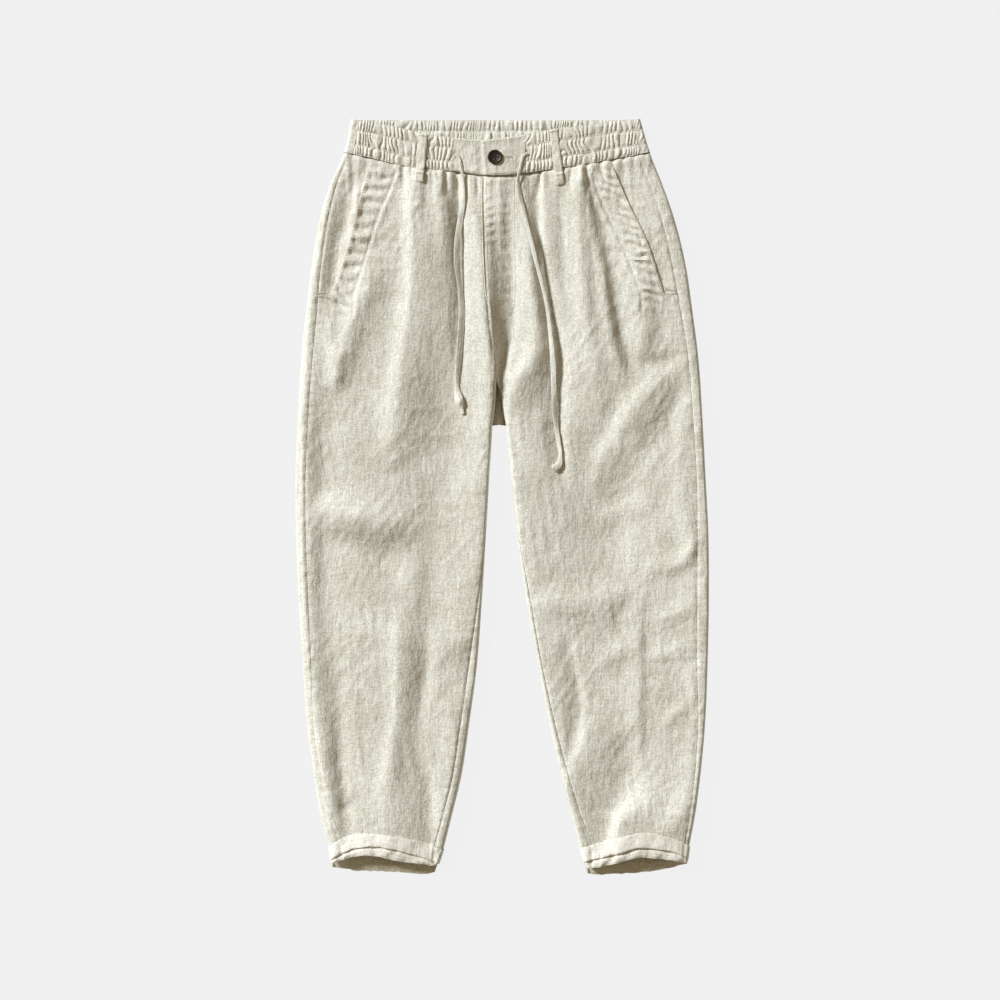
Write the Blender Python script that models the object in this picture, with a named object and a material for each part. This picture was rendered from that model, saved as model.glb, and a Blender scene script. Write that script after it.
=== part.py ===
"""Linen drawstring trousers, laid flat on their back panels.

Tapered legs with turned-up hems hang from an elastic waistband that is gathered into three channels. The
band has a flat buttoned middle, a drawstring and belt loops, and the fronts have slant pockets and a fly.

Sizes are in millimetres and become metres where a mesh is made. A place on the garment is
    across  from the centre line towards the wearer's left, +X,
    drop    from the top of the waist towards the hems, -Y,
    height  above the surface that the garment lies on, +Z.
"""

import functools
import math
from collections import namedtuple

import bpy
import numpy as np
from mathutils import Vector
from mathutils.bvhtree import BVHTree

MM = 0.001

# Driving dimensions
CLOTH = 1.2  # one layer of linen
SEAM = 0.3  # space between two pieces that are sewn together
INSEAM_SPACE = 0.5  # wider, because the walls lean together where the inseam lies on the folded edge
EDGE_ROUND = 3.5  # radius across of a folded side edge
CROTCH = 383.0
FORK = 329.0  # where the fronts part above the crotch, which shows the backs between them
BACK_CENTRE = 1.5  # across of the centre back seam
LEGS_START = 230.0  # drop where the fullness starts to part into two legs
DIP_END = 190.0  # drop to which the front's rows follow the dipping waist seam
ARCH_START = 810.0  # drop from which they follow the arched turn-up

FLY_LAP = 3.0  # the left front's overlap on the right one
FLY_RISE = 1.8  # how much higher the left front lies at its lap
FLY_WIDE = 36.0
FLY_END = 249.0
FLY_FLAT = 345.0  # drop where the rise has faded

POCKET_END = 220.0
FACING_UNDER_FRONT = 14.0

BAND_TOP = 2.0  # drop of the waistband's top at the back
BAND_DROP = 46.0  # drop of the waist seam at the back and sides
BAND_INSET = 11.0  # how far in from the edge the band's side seams show
BAND_ROUND = 4.5
BAND_PROUD = 1.4
BAND_THICK = 2.8
GATHERS = {"right": 23, "left": 25, "back": 56}
GATHER_DEPTH = 1.7

CUFF_START = 912.0  # drop of the turn-up's upper corners
CUFF_SPACE = 0.6
CUFF_ROUND = 4.5

# Belt loops, each from a place on the band's top edge to one below the waist seam: across, drop
LOOPS = {"right": ((-92.5, 21), (-98, 81)), "left": ((69, 15.5), (77.5, 84))}
LOOP_WIDTH = 12.0
LOOP_REACH = 7.0  # a loop lies on the highest cloth within this distance

BUTTON_PLACE = (-4.0, 50.0)
BUTTON_STEPS = 20
BUTTON_HOLE_RADIUS = 1.0
BUTTON_HOLE_OFFSET = 1.9

TAPE_WIDTH = 7.0
TAPE_THICKNESS = 1.6
TAPE_STEP = 11.0

# The frame's origin is the middle of the bounding box, seen from above.
MIDDLE_ACROSS = 5.0
MIDDLE_DROP = 473.1

# Colour and roughness
MATERIALS = {
    "linen": ((0.70, 0.66, 0.56), 0.85),
    "linen_band": ((0.72, 0.68, 0.58), 0.85),
    "linen_tape": ((0.74, 0.70, 0.61), 0.85),
    "dark_button": ((0.020, 0.016, 0.012), 0.3),
}

# Both legs, section by section. outer and inner are the side edges' distances from the centre line;
# outseam and inseam say how far in from those edges the seams show on top.
#   drop  |  right: outer, inner, outseam, inseam  |  left: outer, inner, outseam, inseam
OUTLINE = (
    (0, 183.0, 7.0, 8.0, 0.0, 177.0, 10.0, 14.0, 0.0),
    (46, 192.5, 7.0, 6.0, 0.0, 190.0, 10.0, 16.0, 0.0),
    (80, 208.0, 7.0, 8.5, 0.0, 203.5, 10.0, 16.5, 0.0),
    (120, 221.0, 7.0, 11.0, 0.0, 218.0, 10.0, 17.0, 0.0),
    (180, 232.0, 7.0, 12.0, 0.0, 233.5, 10.0, 17.5, 0.0),
    (240, 239.5, 7.0, 14.0, 0.0, 242.5, 10.0, 15.5, 0.0),
    (300, 245.5, 7.0, 14.5, 0.0, 250.0, 10.0, 13.5, 0.0),
    (383, 250.5, 7.0, 13.5, 0.0, 255.5, 10.0, 12.5, 0.0),
    (450, 253.0, 11.0, 13.0, 0.0, 259.0, 17.0, 12.0, 0.0),
    (520, 252.0, 15.0, 12.5, 0.5, 262.5, 24.0, 14.5, 1.5),
    (600, 249.0, 20.0, 12.5, 4.5, 263.0, 35.0, 15.3, 5.0),
    (680, 243.7, 26.0, 11.0, 10.0, 261.5, 49.7, 14.0, 4.5),
    (760, 238.0, 36.5, 8.0, 11.0, 258.0, 65.0, 9.5, 7.0),
    (820, 230.0, 45.5, 9.0, 11.0, 252.4, 79.0, 8.0, 8.7),
    (870, 221.5, 57.5, 13.0, 11.5, 246.0, 91.0, 7.6, 12.0),
    (912, 210.5, 68.0, 16.0, 11.5, 238.5, 102.5, 7.0, 14.0),
)

# The garment's thickness where it is fullest, and at its folded side edges.
#   drop, middle, edge
FULLNESS = (
    (0, 13.5, 9.0),
    (46, 15.5, 9.0),
    (120, 17.0, 8.0),
    (250, 17.0, 7.5),
    (383, 14.5, 7.0),
    (520, 13.0, 7.0),
    (700, 13.0, 6.5),
    (820, 15.0, 7.0),
    (912, 18.0, 8.0),
    (950, 18.0, 8.0),
)

# The front edge of the left front, which laps the right one at the fly.   drop, across
CENTRE_FRONT = ((0, -16.5), (130, -16.5), (180, -15.0), (237, -11.5), (290, -6.5), (340, -1.0), (383, 1.5))

# The front of the waistband dips below the back.   across, top edge's drop, seam's drop
WAIST_FRONT = (
    (-193, 1.0, 43.0),
    (-160, 5.0, 50.0),
    (-120, 14.0, 60.0),
    (-84, 22.0, 64.5),
    (-52, 26.0, 67.5),
    (-18, 28.0, 72.0),
    (4, 26.0, 72.5),
    (34, 21.5, 69.5),
    (67, 15.0, 64.5),
    (109, 9.5, 58.0),
    (148, 4.5, 51.0),
    (190, 0.5, 43.0),
)

# The pocket mouth's edge on each front.   drop, right across, left across
POCKET_MOUTH = ((46, -157.0, 139.0), (106, -173.0, 163.0), (157, -186.0, 186.0), (220, -207.0, 206.5))

# The folds of the fronts. A crest has a positive rise and a trough a negative one. bow bends the line to
# the right of its run, and wide_left and wide_right are its widths on either side.
#   across, drop  ->  across, drop, bow, wide_left, wide_right, rise
FOLDS = (
    # right front, from the waist to the thigh
    (-109, 50, -148, 445, 13, 9, 18, 7.0),
    (-77, 50, -75, 185, 0, 8, 9, 4.0),
    (-66, 50, -50, 305, 0, 9, 8, -6.0),
    (-34, 50, -36, 530, 9, 10, 13, 5.5),
    (-127, 80, -156, 290, 0, 11, 10, -3.5),
    (-168, 165, -200, 320, 0, 8, 8, 3.0),
    # the hollow at the fly
    (-2, 60, 1, 408, 2, 15, 15, -7.0),
    # right leg
    (-54, 426, -122, 630, 0, 15, 15, 2.8),
    (-222, 474, -128, 492, 0, 14, 15, 5.0),
    (-196, 512, -118, 545, 0, 15, 14, -3.5),
    (-125, 530, -142, 592, 0, 10, 10, -2.0),
    (-92, 530, -107, 610, 0, 10, 10, -2.0),
    (-102, 640, -92, 905, -13, 11, 11, -5.0),
    (-125, 722, -172, 880, 10, 10, 11, 4.0),
    (-208, 700, -196, 865, 0, 10, 7, -4.0),
    # left front, from the waist to the thigh
    (36, 60, 8, 350, 13, 11, 11, 6.0),
    (45, 55, 68, 430, 0, 9, 9, -5.5),
    (64, 55, 73, 192, 0, 9, 10, 3.0),
    (101, 50, 116, 310, -4, 9, 16, 5.5),
    (110, 55, 164, 345, 3, 10, 8, -4.0),
    (156, 170, 160, 285, 0, 10, 12, 2.0),
    # left leg
    (212, 318, 115, 452, -15, 10, 12, 5.5),
    (244, 336, 128, 480, -7, 15, 15, -4.0),
    (229, 348, 217, 445, 0, 9, 10, 3.0),
    (125, 500, 192, 462, 0, 12, 12, 3.0),
    (252, 518, 194, 578, 0, 11, 11, -3.0),
    (242, 616, 198, 634, 0, 12, 12, -2.0),
    (36, 594, 132, 582, 0, 12, 13, 3.5),
    (62, 620, 152, 612, 0, 18, 16, -3.0),
    (81, 648, 96, 780, 0, 10, 10, -2.0),
    (154, 768, 114, 905, -6, 13, 11, -5.0),
    (148, 840, 134, 905, 0, 9, 9, 3.5),
)

# The turned-up hems seen from above, from the outer edge to the inner one: the upper edge of the turn-up,
# where its outer roll ends, the lip of the front, and the edge of the back behind it.
#   share across, top, roll, lip, back
HEMS = {
    "right": (
        (0.0, 906.5, 926, 930, 934),
        (0.1, 898, 917, 925, 936),
        (0.22, 892, 910, 920, 939),
        (0.43, 892, 907.5, 919, 940),
        (0.6, 895, 912, 925, 941),
        (0.87, 904, 924, 930, 943),
        (1.0, 912, 932, 935, 937),
    ),
    "left": (
        (0.0, 906, 924, 929, 930),
        (0.12, 899, 915, 925.5, 934),
        (0.28, 892.5, 911.5, 922.5, 939),
        (0.45, 890, 909, 920.5, 941.5),
        (0.65, 896, 916, 927, 943),
        (0.88, 905, 924, 934, 944),
        (1.0, 909, 929, 937, 940),
    ),
}
# The turn-ups' side edges at their top and at their mouth: outer, inner, outer, inner
HEM_EDGES = {"right": (211.5, 67.0, 207.5, 79.0), "left": (239.5, 101.5, 236.0, 111.5)}

# The drawstring's two free ends, from eyelet to tip.   across, drop
STRINGS = {
    "right": (
        (-54.4, 46.3), (-50, 49.4), (-46.3, 60), (-44.3, 74.4), (-43.8, 106), (-47.5, 132.5), (-50.6, 156),
        (-50.8, 185), (-47.5, 211), (-45, 237.5), (-46.3, 270), (-49.1, 302.5), (-50.8, 336), (-48, 354),
        (-43.8, 369),
    ),
    "left": (
        (36.9, 45), (31.9, 48), (28, 60), (25, 80), (27.5, 98.8), (33, 121), (38.8, 146), (46.9, 178.8),
        (53.8, 205), (61, 237.5), (65, 270), (68, 302.5), (69.4, 332.5), (70.2, 351), (72, 380), (75.5, 404),
        (77.5, 420), (75, 433), (69, 438),
    ),
}

# Rows of the panels, by their drop at the side. Two close rows make a step, as at the pocket's end.
PANEL_ROWS = (
    46.3, 56, 70, 92, 120, 150, 185, 219.4, 220.6, 260, 300, 340, 382.2, 383.8, 420, 455, 490, 520, 550,
    585, 622, 665, 710, 755, 800, 840, 878, CUFF_START - CUFF_SPACE,
)
# The fronts' columns: from the outseam to the outer guide, to the inner guide and to the inner edge
GUIDED_COLUMNS = (4, 15, 4)
OUTER_GUIDE = 68.0
INNER_GUIDE = 28.0
FACING_COLUMNS = 7
BACK_BAND_ROWS = (0.0, 0.35, 1.0)
EDGE_STEPS = 4  # facets round a folded side edge

# The waistband's rows from its top to its seam, by their share of its height, and its two rows of stitching
CHANNEL_ROWS = (0.0, 0.13, 0.28, 0.46, 0.64, 0.82, 1.0)
CHANNEL_STITCHES = (0.28, 0.64)

# The band's flat middle, which the left end laps.   across, lower face, upper face
CENTRE_RIGHT = (
    (-54.7, -1.4, 1.4),
    (-44, -1.4, 1.4),
    (-34, -1.4, 1.4),
    (-28, -1.4, 1.4),
    (-25, -1.55, 0.75),
    (-22, -1.7, 0.1),
    (-14, -1.7, 0.1),
    (-4, -1.7, 0.1),
    (6, -1.7, 0.1),
    (12, -1.7, 0.1),
)
CENTRE_LEFT = (
    (-21, 0.7, 2.7),
    (-14, 0.7, 2.7),
    (-6, 0.7, 2.7),
    (2, 0.7, 2.7),
    (9, 0.7, 2.7),
    (14, 0.7, 2.7),
    (18, 0.15, 2.4),
    (21, -0.35, 2.1),
    (24, -0.85, 1.8),
    (28, -1.4, 1.5),
    (33.7, -1.4, 1.5),
)
CENTRE_ENDS = {"right": CENTRE_RIGHT[0][0], "left": CENTRE_LEFT[-1][0]}
CENTRE_ROWS = (0.0, 0.06, 0.3, 0.62, 0.94, 1.0)
CENTRE_EDGE = 0.5  # rounding of the upper face at the top and at the seam

# The turn-up's front from its seam, 0, over the end of its outer roll, 1, to its lip, 2.
#   way down, height over the front, thickness
CUFF_ROWS = (
    (0.0, 0.8, 2.0),
    (0.09, 2.2, 3.4),
    (0.5, 2.6, 3.8),
    (0.92, 2.2, 3.4),
    (1.02, 0.9, 2.1),
    (1.7, 0.7, 1.9),
    (2.0, 0.1, 1.3),
)
CUFF_BACK_ROWS = ((0.0, 1.8), (0.5, 2.4), (0.94, 2.4), (1.0, 1.8))  # share of the way down, thickness
CUFF_FRONT_COLUMNS = 16
CUFF_BACK_COLUMNS = 10
CUFF_TURN = math.radians(84)  # how far a turn-up's front and back each reach round the side edge

# Share of a belt loop's length, thickness: its lower end is folded under
LOOP_ROWS = (
    (0.0, 1.5),
    (0.06, 1.5),
    (0.2, 1.5),
    (0.36, 1.5),
    (0.52, 1.5),
    (0.66, 1.5),
    (0.78, 1.5),
    (0.81, 2.6),
    (0.97, 2.6),
    (1.0, 1.8),
)

# Half of the button's section.   radius, height
BUTTON_PROFILE = (
    (0, 0),
    (7.0, 0),
    (8.8, 1.0),
    (9.0, 1.7),
    (8.6, 2.6),
    (7.8, 3.0),
    (6.4, 2.4),
    (5.4, 1.8),
    (0, 1.8),
)

# The drawstring's section, as shares of half its width and half its thickness
TAPE_SECTION = (
    (1, 0.35),
    (0.75, 1),
    (-0.75, 1),
    (-1, 0.35),
    (-1, -0.35),
    (-0.75, -1),
    (0.75, -1),
    (1, -0.35),
)


def smooth_curve(stations, values):
    """A function through the given values that has no corners."""
    at = np.array(stations, float)
    value = np.array(values, float)
    slope = np.gradient(value, at)

    def curve(place):
        place = np.clip(place, at[0], at[-1])
        i = np.clip(np.searchsorted(at, place) - 1, 0, len(at) - 2)
        step = at[i + 1] - at[i]
        t = (place - at[i]) / step
        start = (2 * t**3 - 3 * t**2 + 1) * value[i] + (t**3 - 2 * t**2 + t) * step * slope[i]
        end = (3 * t**2 - 2 * t**3) * value[i + 1] + (t**3 - t**2) * step * slope[i + 1]
        return start + end

    return curve


def table_curves(table):
    """One smooth curve for each column after the first, over the first column."""
    columns = list(zip(*table))
    return [smooth_curve(columns[0], column) for column in columns[1:]]


def ease(value, low, high):
    """Rises smoothly from 0 at low to 1 at high."""
    t = np.clip((value - low) / (high - low), 0, 1)
    return t * t * (3 - 2 * t)


OUTLINE_CURVES = table_curves(OUTLINE)
SIDE_SIGN = {"right": -1, "left": 1}
OUTER, INNER, OUTSEAM, INSEAM = range(4)
full_middle, full_edge = table_curves(FULLNESS)
centre_front = table_curves(CENTRE_FRONT)[0]
waist_top, waist_seam = table_curves(WAIST_FRONT)
pocket_mouth = dict(zip(("right", "left"), table_curves(POCKET_MOUTH)))


def outline(side, column, drop):
    """A column of the OUTLINE table for one leg."""
    return OUTLINE_CURVES[column + (4 if side == "left" else 0)](drop)


def base_height(across, drop):
    """Height of the garment's top without its folds: a low dome that splits into one for each leg."""
    right_edge = -outline("right", OUTER, drop)
    left_edge = outline("left", OUTER, drop)
    on_right = across < centre_front(drop)
    outer = np.where(on_right, across - right_edge, left_edge - across)
    crotch_right = np.where(drop < CROTCH, -centre_front(drop), outline("right", INNER, drop))
    crotch_left = np.where(drop < CROTCH, centre_front(drop), outline("left", INNER, drop))
    inner = np.where(on_right, -crotch_right - across, across - crotch_left)
    outer, inner = np.maximum(outer, 0), np.maximum(inner, 0)
    leg = 4 * outer * inner / np.maximum(outer + inner, 1) ** 2
    whole = np.clip(4 * (across - right_edge) * (left_edge - across) / (left_edge - right_edge) ** 2, 0, 1)
    apart = ease(drop, LEGS_START, CROTCH)
    dome = (1 - apart) * whole**0.42 + apart * leg**0.5
    return full_edge(drop) + (full_middle(drop) - full_edge(drop)) * dome


def fold_height(across, drop, fold):
    """What one fold adds at a place."""
    x0, d0, x1, d1, bow, wide_left, wide_right, rise = fold
    run = np.array([x1 - x0, d1 - d0], float)
    long = math.hypot(*run)
    run = run / long
    along = ((across - x0) * run[0] + (drop - d0) * run[1]) / long
    aside = (across - x0) * run[1] - (drop - d0) * run[0]
    bend = 4 * bow * np.clip(along, 0, 1) * (1 - np.clip(along, 0, 1))
    aside = aside - bend
    wide = np.where(aside < 0, wide_left, wide_right)
    ends = ease(along, 0, 0.25) * (1 - ease(along, 0.7, 1))
    return rise * ends * np.exp(-((aside / wide) ** 2))


def top_height(across, drop):
    """Height of the fronts' outer face, with their folds, kept clear of the back."""
    folds = sum(fold_height(across, drop, fold) for fold in FOLDS)
    below_band = drop - waist_seam(across)
    height = base_height(across, drop) + folds * (0.35 + 0.65 * ease(below_band, 0, 28))
    lowest = 2 * CLOTH + 1.2
    return lowest + np.logaddexp(0, (height - lowest) * 1.5) / 1.5


HEM_TOP, HEM_ROLL, HEM_LIP, HEM_BACK = range(4)
HEM_CURVES = {side: table_curves(HEMS[side]) for side in HEMS}


def hem_share(side, across):
    """How far a place is from the hem's outer edge, 0, to its inner edge, 1."""
    outer, inner = outline(side, OUTER, CUFF_START), outline(side, INNER, CUFF_START)
    return np.clip((outer - np.abs(across)) / (outer - inner), 0, 1)


def cuff_top(side, across, share_up):
    """Drop of the seam between leg and turn-up: arched on the front, straight on the back."""
    return CUFF_START + (HEM_CURVES[side][HEM_TOP](hem_share(side, across)) - CUFF_START) * share_up


Section = namedtuple("Section", "outer inward inner_round wide_top wide_bottom")


def leg_section(side, station):
    """One section of a leg: its outer edge, the way inwards (-1 or 1), the roundness of its inner edge, and
    how wide it is on top and underneath between the rounded edges."""
    sign = SIDE_SIGN[side]
    outer = sign * outline(side, OUTER, station)
    inner_top = inner_bottom = sign * outline(side, INNER, station)
    inner_round = EDGE_ROUND
    if station < CROTCH:
        inner_bottom = BACK_CENTRE
        apart = max(0.0, (station - FORK) / (CROTCH - FORK))
        inner_top = float(centre_front(station)) * (1 - apart) + inner_top * apart
        inner_round = EDGE_ROUND * min(1.0, apart * 4)
    wide_top = abs(inner_top - outer) - EDGE_ROUND - inner_round
    wide_bottom = abs(inner_bottom - outer) - EDGE_ROUND - (inner_round if station > CROTCH else 0)
    return Section(outer, -sign, inner_round, wide_top, wide_bottom)


def seam_place(side, column, station):
    """Where the outseam or inseam lies along the section, from where the folded edge meets the top."""
    inset = max(0.0, float(outline(side, column, station)))
    if inset >= EDGE_ROUND:
        return inset - EDGE_ROUND
    return -EDGE_ROUND * math.asin(1 - inset / EDGE_ROUND)


def leg_skin(side, station, q, lapped=False):
    """Point on the outside of a leg. q runs round the section: 0 where the outer edge's fold meets the
    top, along the top to the inner edge, round it, and back along the bottom. A lapped section stays on
    top past its inner edge and is raised there, as the left front is at the fly."""
    leg = leg_section(side, station)
    inner_arc = math.pi * leg.inner_round
    whole = leg.wide_top + inner_arc + leg.wide_bottom + math.pi * EDGE_ROUND
    q = np.where(q > leg.wide_top + inner_arc + leg.wide_bottom, q - whole, q)
    fold_angle = np.clip(-q / EDGE_ROUND, 0, math.pi)
    on_bottom = (q > leg.wide_top + inner_arc) & (not lapped)
    inner_angle = 0 * q if lapped else np.clip((q - leg.wide_top) / max(leg.inner_round, 1e-6), 0, math.pi)
    inset_top = EDGE_ROUND + np.clip(q, 0, leg.wide_top + (FLY_LAP if lapped else 0))
    inset_bottom = EDGE_ROUND + leg.wide_bottom - (q - leg.wide_top - inner_arc)
    inset = np.where(on_bottom, inset_bottom, inset_top + leg.inner_round * np.sin(inner_angle))
    across = leg.outer + leg.inward * (inset - EDGE_ROUND * np.sin(fold_angle))
    share_up = np.where(on_bottom, 0, (1 + np.cos(fold_angle)) / 2 * (1 + np.cos(inner_angle)) / 2)
    dip = (waist_seam(across) - BAND_DROP) * (1 - ease(station, BAND_DROP, DIP_END)) * share_up
    arch = (cuff_top(side, across, share_up) - CUFF_START) * ease(station, ARCH_START, CUFF_START)
    drop = station + dip + arch
    height = share_up * top_height(across, drop)
    if lapped:
        near_edge = 1 - ease(leg.wide_top - q, 0.6 * FLY_WIDE, FLY_WIDE)
        height = height + FLY_RISE * (1 - ease(station, FLY_END, FLY_FLAT)) * near_edge
    return across, drop, height


def skin_and_normals(side, station, q, lapped=False):
    """Points of a leg's skin and their unit normals into the leg, as rows of across, drop and height."""
    probe, least = 0.2, 0.01
    low, high = q - probe, q + probe
    if station < CROTCH and not lapped:
        leg = leg_section(side, station)
        parting = leg.wide_top + math.pi * leg.inner_round
        low = np.where(q > parting, np.maximum(low, parting + least), low)
        high = np.where(q > parting, high, np.minimum(high, parting - least))
    skin, before, after = (np.stack(leg_skin(side, station, at, lapped), axis=-1) for at in (q, low, high))
    normal = np.cross(after - before, (0, SIDE_SIGN[side], 0))
    return skin, normal / np.linalg.norm(normal, axis=1, keepdims=True)


def front_span(side, station):
    """The stretch of the section, from q to q, that the front panel covers."""
    leg = leg_section(side, station)
    if station < POCKET_END:
        start = abs(float(pocket_mouth[side](station)) - leg.outer) - EDGE_ROUND
    else:
        start = seam_place(side, OUTSEAM, station)
    if station > CROTCH:
        return start + SEAM / 2, leg.wide_top - seam_place(side, INSEAM, station) - INSEAM_SPACE / 2
    lap = FLY_LAP if side == "left" and station < FLY_END else 0
    return start + SEAM / 2, leg.wide_top + math.pi / 2 * leg.inner_round - SEAM / 2 + lap


def front_places(side, station):
    """The q of each column of a front. Two guides that run down the leg keep the columns even where the
    pocket mouth ends and where the legs part."""
    start, end = front_span(side, station)
    width = float(outline(side, OUTER, station) - outline(side, INNER, station))
    outer_guide = min(OUTER_GUIDE, 0.36 * width) - EDGE_ROUND
    inner_guide = width - EDGE_ROUND - min(INNER_GUIDE, 0.2 * width)
    turn = min(leg_section(side, station).wide_top, end - 2.0)
    between = np.linspace(0, 1, GUIDED_COLUMNS[1] + 1) ** 0.85
    return np.concatenate(
        [
            np.linspace(start, outer_guide, GUIDED_COLUMNS[0] + 1)[:-1],
            outer_guide + (inner_guide - outer_guide) * between,
            np.linspace(inner_guide, turn, GUIDED_COLUMNS[2] + 1)[1:],
            np.linspace(turn, end, EDGE_STEPS)[1:],
        ]
    )


def back_places(side, station):
    """The q of each column of a back, from the inseam round under the leg to the outseam."""
    leg = leg_section(side, station)
    bottom = leg.wide_top + math.pi * leg.inner_round
    whole = bottom + leg.wide_bottom + math.pi * EDGE_ROUND
    lap = max(seam_place(side, OUTSEAM, station) - SEAM / 2, 0.5)
    outer_part = np.append(whole - np.linspace(math.pi * EDGE_ROUND, 0, EDGE_STEPS + 1), whole + lap / 2)
    outer_part = np.append(outer_part, whole + lap)
    if station < CROTCH:
        inner_part = bottom + SEAM / 2 + np.linspace(0, 4, EDGE_STEPS + 2)
        return np.concatenate([inner_part, outer_part])
    inseam = leg.wide_top - seam_place(side, INSEAM, station) + INSEAM_SPACE / 2
    if inseam < leg.wide_top:
        inner_part = np.append(inseam, np.linspace(leg.wide_top, bottom, EDGE_STEPS + 1))
    else:
        inner_part = np.linspace(inseam, bottom, EDGE_STEPS + 2)
    return np.concatenate([inner_part, outer_part])


def placed(points):
    """Garment places as coordinates of the frame, in metres."""
    across, drop, height = points
    return np.stack([across - MIDDLE_ACROSS, MIDDLE_DROP - drop, height], axis=-1) * MM


def wall(name, outer, inner, material):
    """A closed wall between two grids of points that have the same rows and columns."""
    rows, columns = outer.shape[:2]
    vertices = np.concatenate([outer.reshape(-1, 3), inner.reshape(-1, 3)])
    behind = rows * columns

    def at(row, column):
        return row * columns + column

    faces = []
    for r in range(rows - 1):
        for c in range(columns - 1):
            quad = [at(r, c), at(r, c + 1), at(r + 1, c + 1), at(r + 1, c)]
            corners = vertices[quad]
            if np.linalg.norm(corners[0] - corners[2]) > np.linalg.norm(corners[1] - corners[3]):
                quad = quad[1:] + quad[:1]
            for face in ((quad[0], quad[1], quad[2]), (quad[0], quad[2], quad[3])):
                faces.append(face)
                faces.append(tuple(behind + i for i in reversed(face)))
    rim = [at(0, c) for c in range(columns)]
    rim += [at(r, columns - 1) for r in range(1, rows)]
    rim += [at(rows - 1, c) for c in range(columns - 2, -1, -1)]
    rim += [at(r, 0) for r in range(rows - 2, 0, -1)]
    for a, b in zip(rim, rim[1:] + rim[:1]):
        if a < b:
            faces += [(b, a, behind + b), (a, behind + a, behind + b)]
        else:
            faces += [(b, a, behind + a), (b, behind + a, behind + b)]
    return finished(name, vertices, faces, material)


def finished(name, vertices, faces, material):
    """A smooth-shaded object with its faces turned outwards."""
    mesh = bpy.data.meshes.new(name)
    mesh.from_pydata([tuple(map(float, v)) for v in vertices], [], faces)
    mesh.validate()
    if signed_volume(mesh) < 0:
        mesh.flip_normals()
    mesh.shade_smooth()
    mesh.set_sharp_from_angle(angle=math.radians(50))
    mesh.materials.append(material)
    made = bpy.data.objects.new(name, mesh)
    bpy.context.scene.collection.objects.link(made)
    return made


def signed_volume(mesh):
    """Six times the volume inside the mesh, negative where the faces point inwards."""
    mesh.calc_loop_triangles()
    corners = np.array([[mesh.vertices[i].co[:] for i in t.vertices] for t in mesh.loop_triangles])
    return float(np.einsum("ij,ij->", corners[:, 0], np.cross(corners[:, 1], corners[:, 2])))


def plain_material(name):
    """A material of one colour and roughness."""
    colour, roughness = MATERIALS[name]
    material = bpy.data.materials.new(name)
    material.use_nodes = True
    shader = material.node_tree.nodes["Principled BSDF"]
    shader.inputs["Base Color"].default_value = (*colour, 1)
    shader.inputs["Roughness"].default_value = roughness
    shader.inputs["Metallic"].default_value = 0.0
    return material


def panel_from_rows(name, side, rows, places, material, sunk=None, lapped=False):
    """A panel whose columns lie at places(station) along each row's section. sunk lowers its outer face."""
    outer, inner = [], []
    for station in rows:
        q = places(station)
        skin, normal = skin_and_normals(side, station, q, lapped and station < FORK)
        depth = 0.0 if sunk is None else sunk(station, q)[:, None]
        outer.append(placed((skin + normal * depth).T))
        inner.append(placed((skin + normal * (depth + CLOTH)).T))
    return wall(name, np.array(outer), np.array(inner), material)


def front_panel(side, material):
    """A front, from the waist seam to the turn-up, cut back along the pocket mouth."""
    places = functools.partial(front_places, side)
    return panel_from_rows(f"front_{side}", side, PANEL_ROWS, places, material, lapped=side == "left")


def back_panel(side, material):
    """A back, which lies flat, folds up round the leg's edges and shows on top as far as the seams."""
    return panel_from_rows(f"back_{side}", side, PANEL_ROWS, functools.partial(back_places, side), material)


def pocket_facing(side, material):
    """The piece behind the pocket mouth: at the surface by the outseam, and under the front further in."""

    def span(station):
        return seam_place(side, OUTSEAM, station) + SEAM / 2, front_span(side, station)[0]

    def places(station):
        start, mouth = span(station)
        return np.linspace(start, mouth + FACING_UNDER_FRONT, FACING_COLUMNS)

    def sunk(station, q):
        start, mouth = span(station)
        return (CLOTH + SEAM) * ease(q, start, max(mouth - 4, start + 4))

    rows = [station for station in PANEL_ROWS if station < POCKET_END]
    return panel_from_rows(f"pocket_facing_{side}", side, rows, places, material, sunk)


def channel_relief(share):
    """How far the gathers stand out at a share of the band's height: least at its rows of stitching."""
    stitch = min(abs(share - at) for at in CHANNEL_STITCHES)
    edge = min(share, 1 - share)
    return 0.25 + 0.75 * float(ease(stitch, 0, 0.1)) * (0.55 + 0.45 * float(ease(edge, 0, 0.12)))


def side_seam(side, share):
    """Signed across of the seam between the front and back bands at a share of the band's height."""
    drop = BAND_TOP + (BAND_DROP - BAND_TOP) * share
    return SIDE_SIGN[side] * float(outline(side, OUTER, drop) - BAND_INSET)


def on_front_band(across, share):
    """Drop of a place on the front of the waistband, for its share of the height."""
    return waist_top(across) + (waist_seam(across) - SEAM / 2 - waist_top(across)) * share


def gathered_band(side, material):
    """A stretch of the elastic front band, from the side to the flat middle."""
    columns = 2 * GATHERS[side] + 1
    index = np.arange(columns)
    crest = np.where(index % 2 == 1, 1.0, 0.1) * (0.8 + 0.2 * np.sin(index // 2 * 2.3))
    uneven = 0.25 / columns * np.sin(index * 1.7) * (index > 0) * (index < columns - 1)
    share_in = np.linspace(0, 1, columns) + uneven
    middle = CENTRE_ENDS[side] + SIDE_SIGN[side] * SEAM
    outer, inner = [], []
    for share in CHANNEL_ROWS:
        side_end = side_seam(side, share) - SIDE_SIGN[side] * SEAM / 2
        across = side_end + (middle - side_end) * share_in
        drop = on_front_band(across, share)
        base = base_height(across, drop)
        outer.append(placed((across, drop, base + BAND_PROUD + GATHER_DEPTH * crest * channel_relief(share))))
        inner.append(placed((across, drop, base - BAND_PROUD)))
    return wall(f"waistband_front_{side}", np.array(outer), np.array(inner), material)


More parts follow.
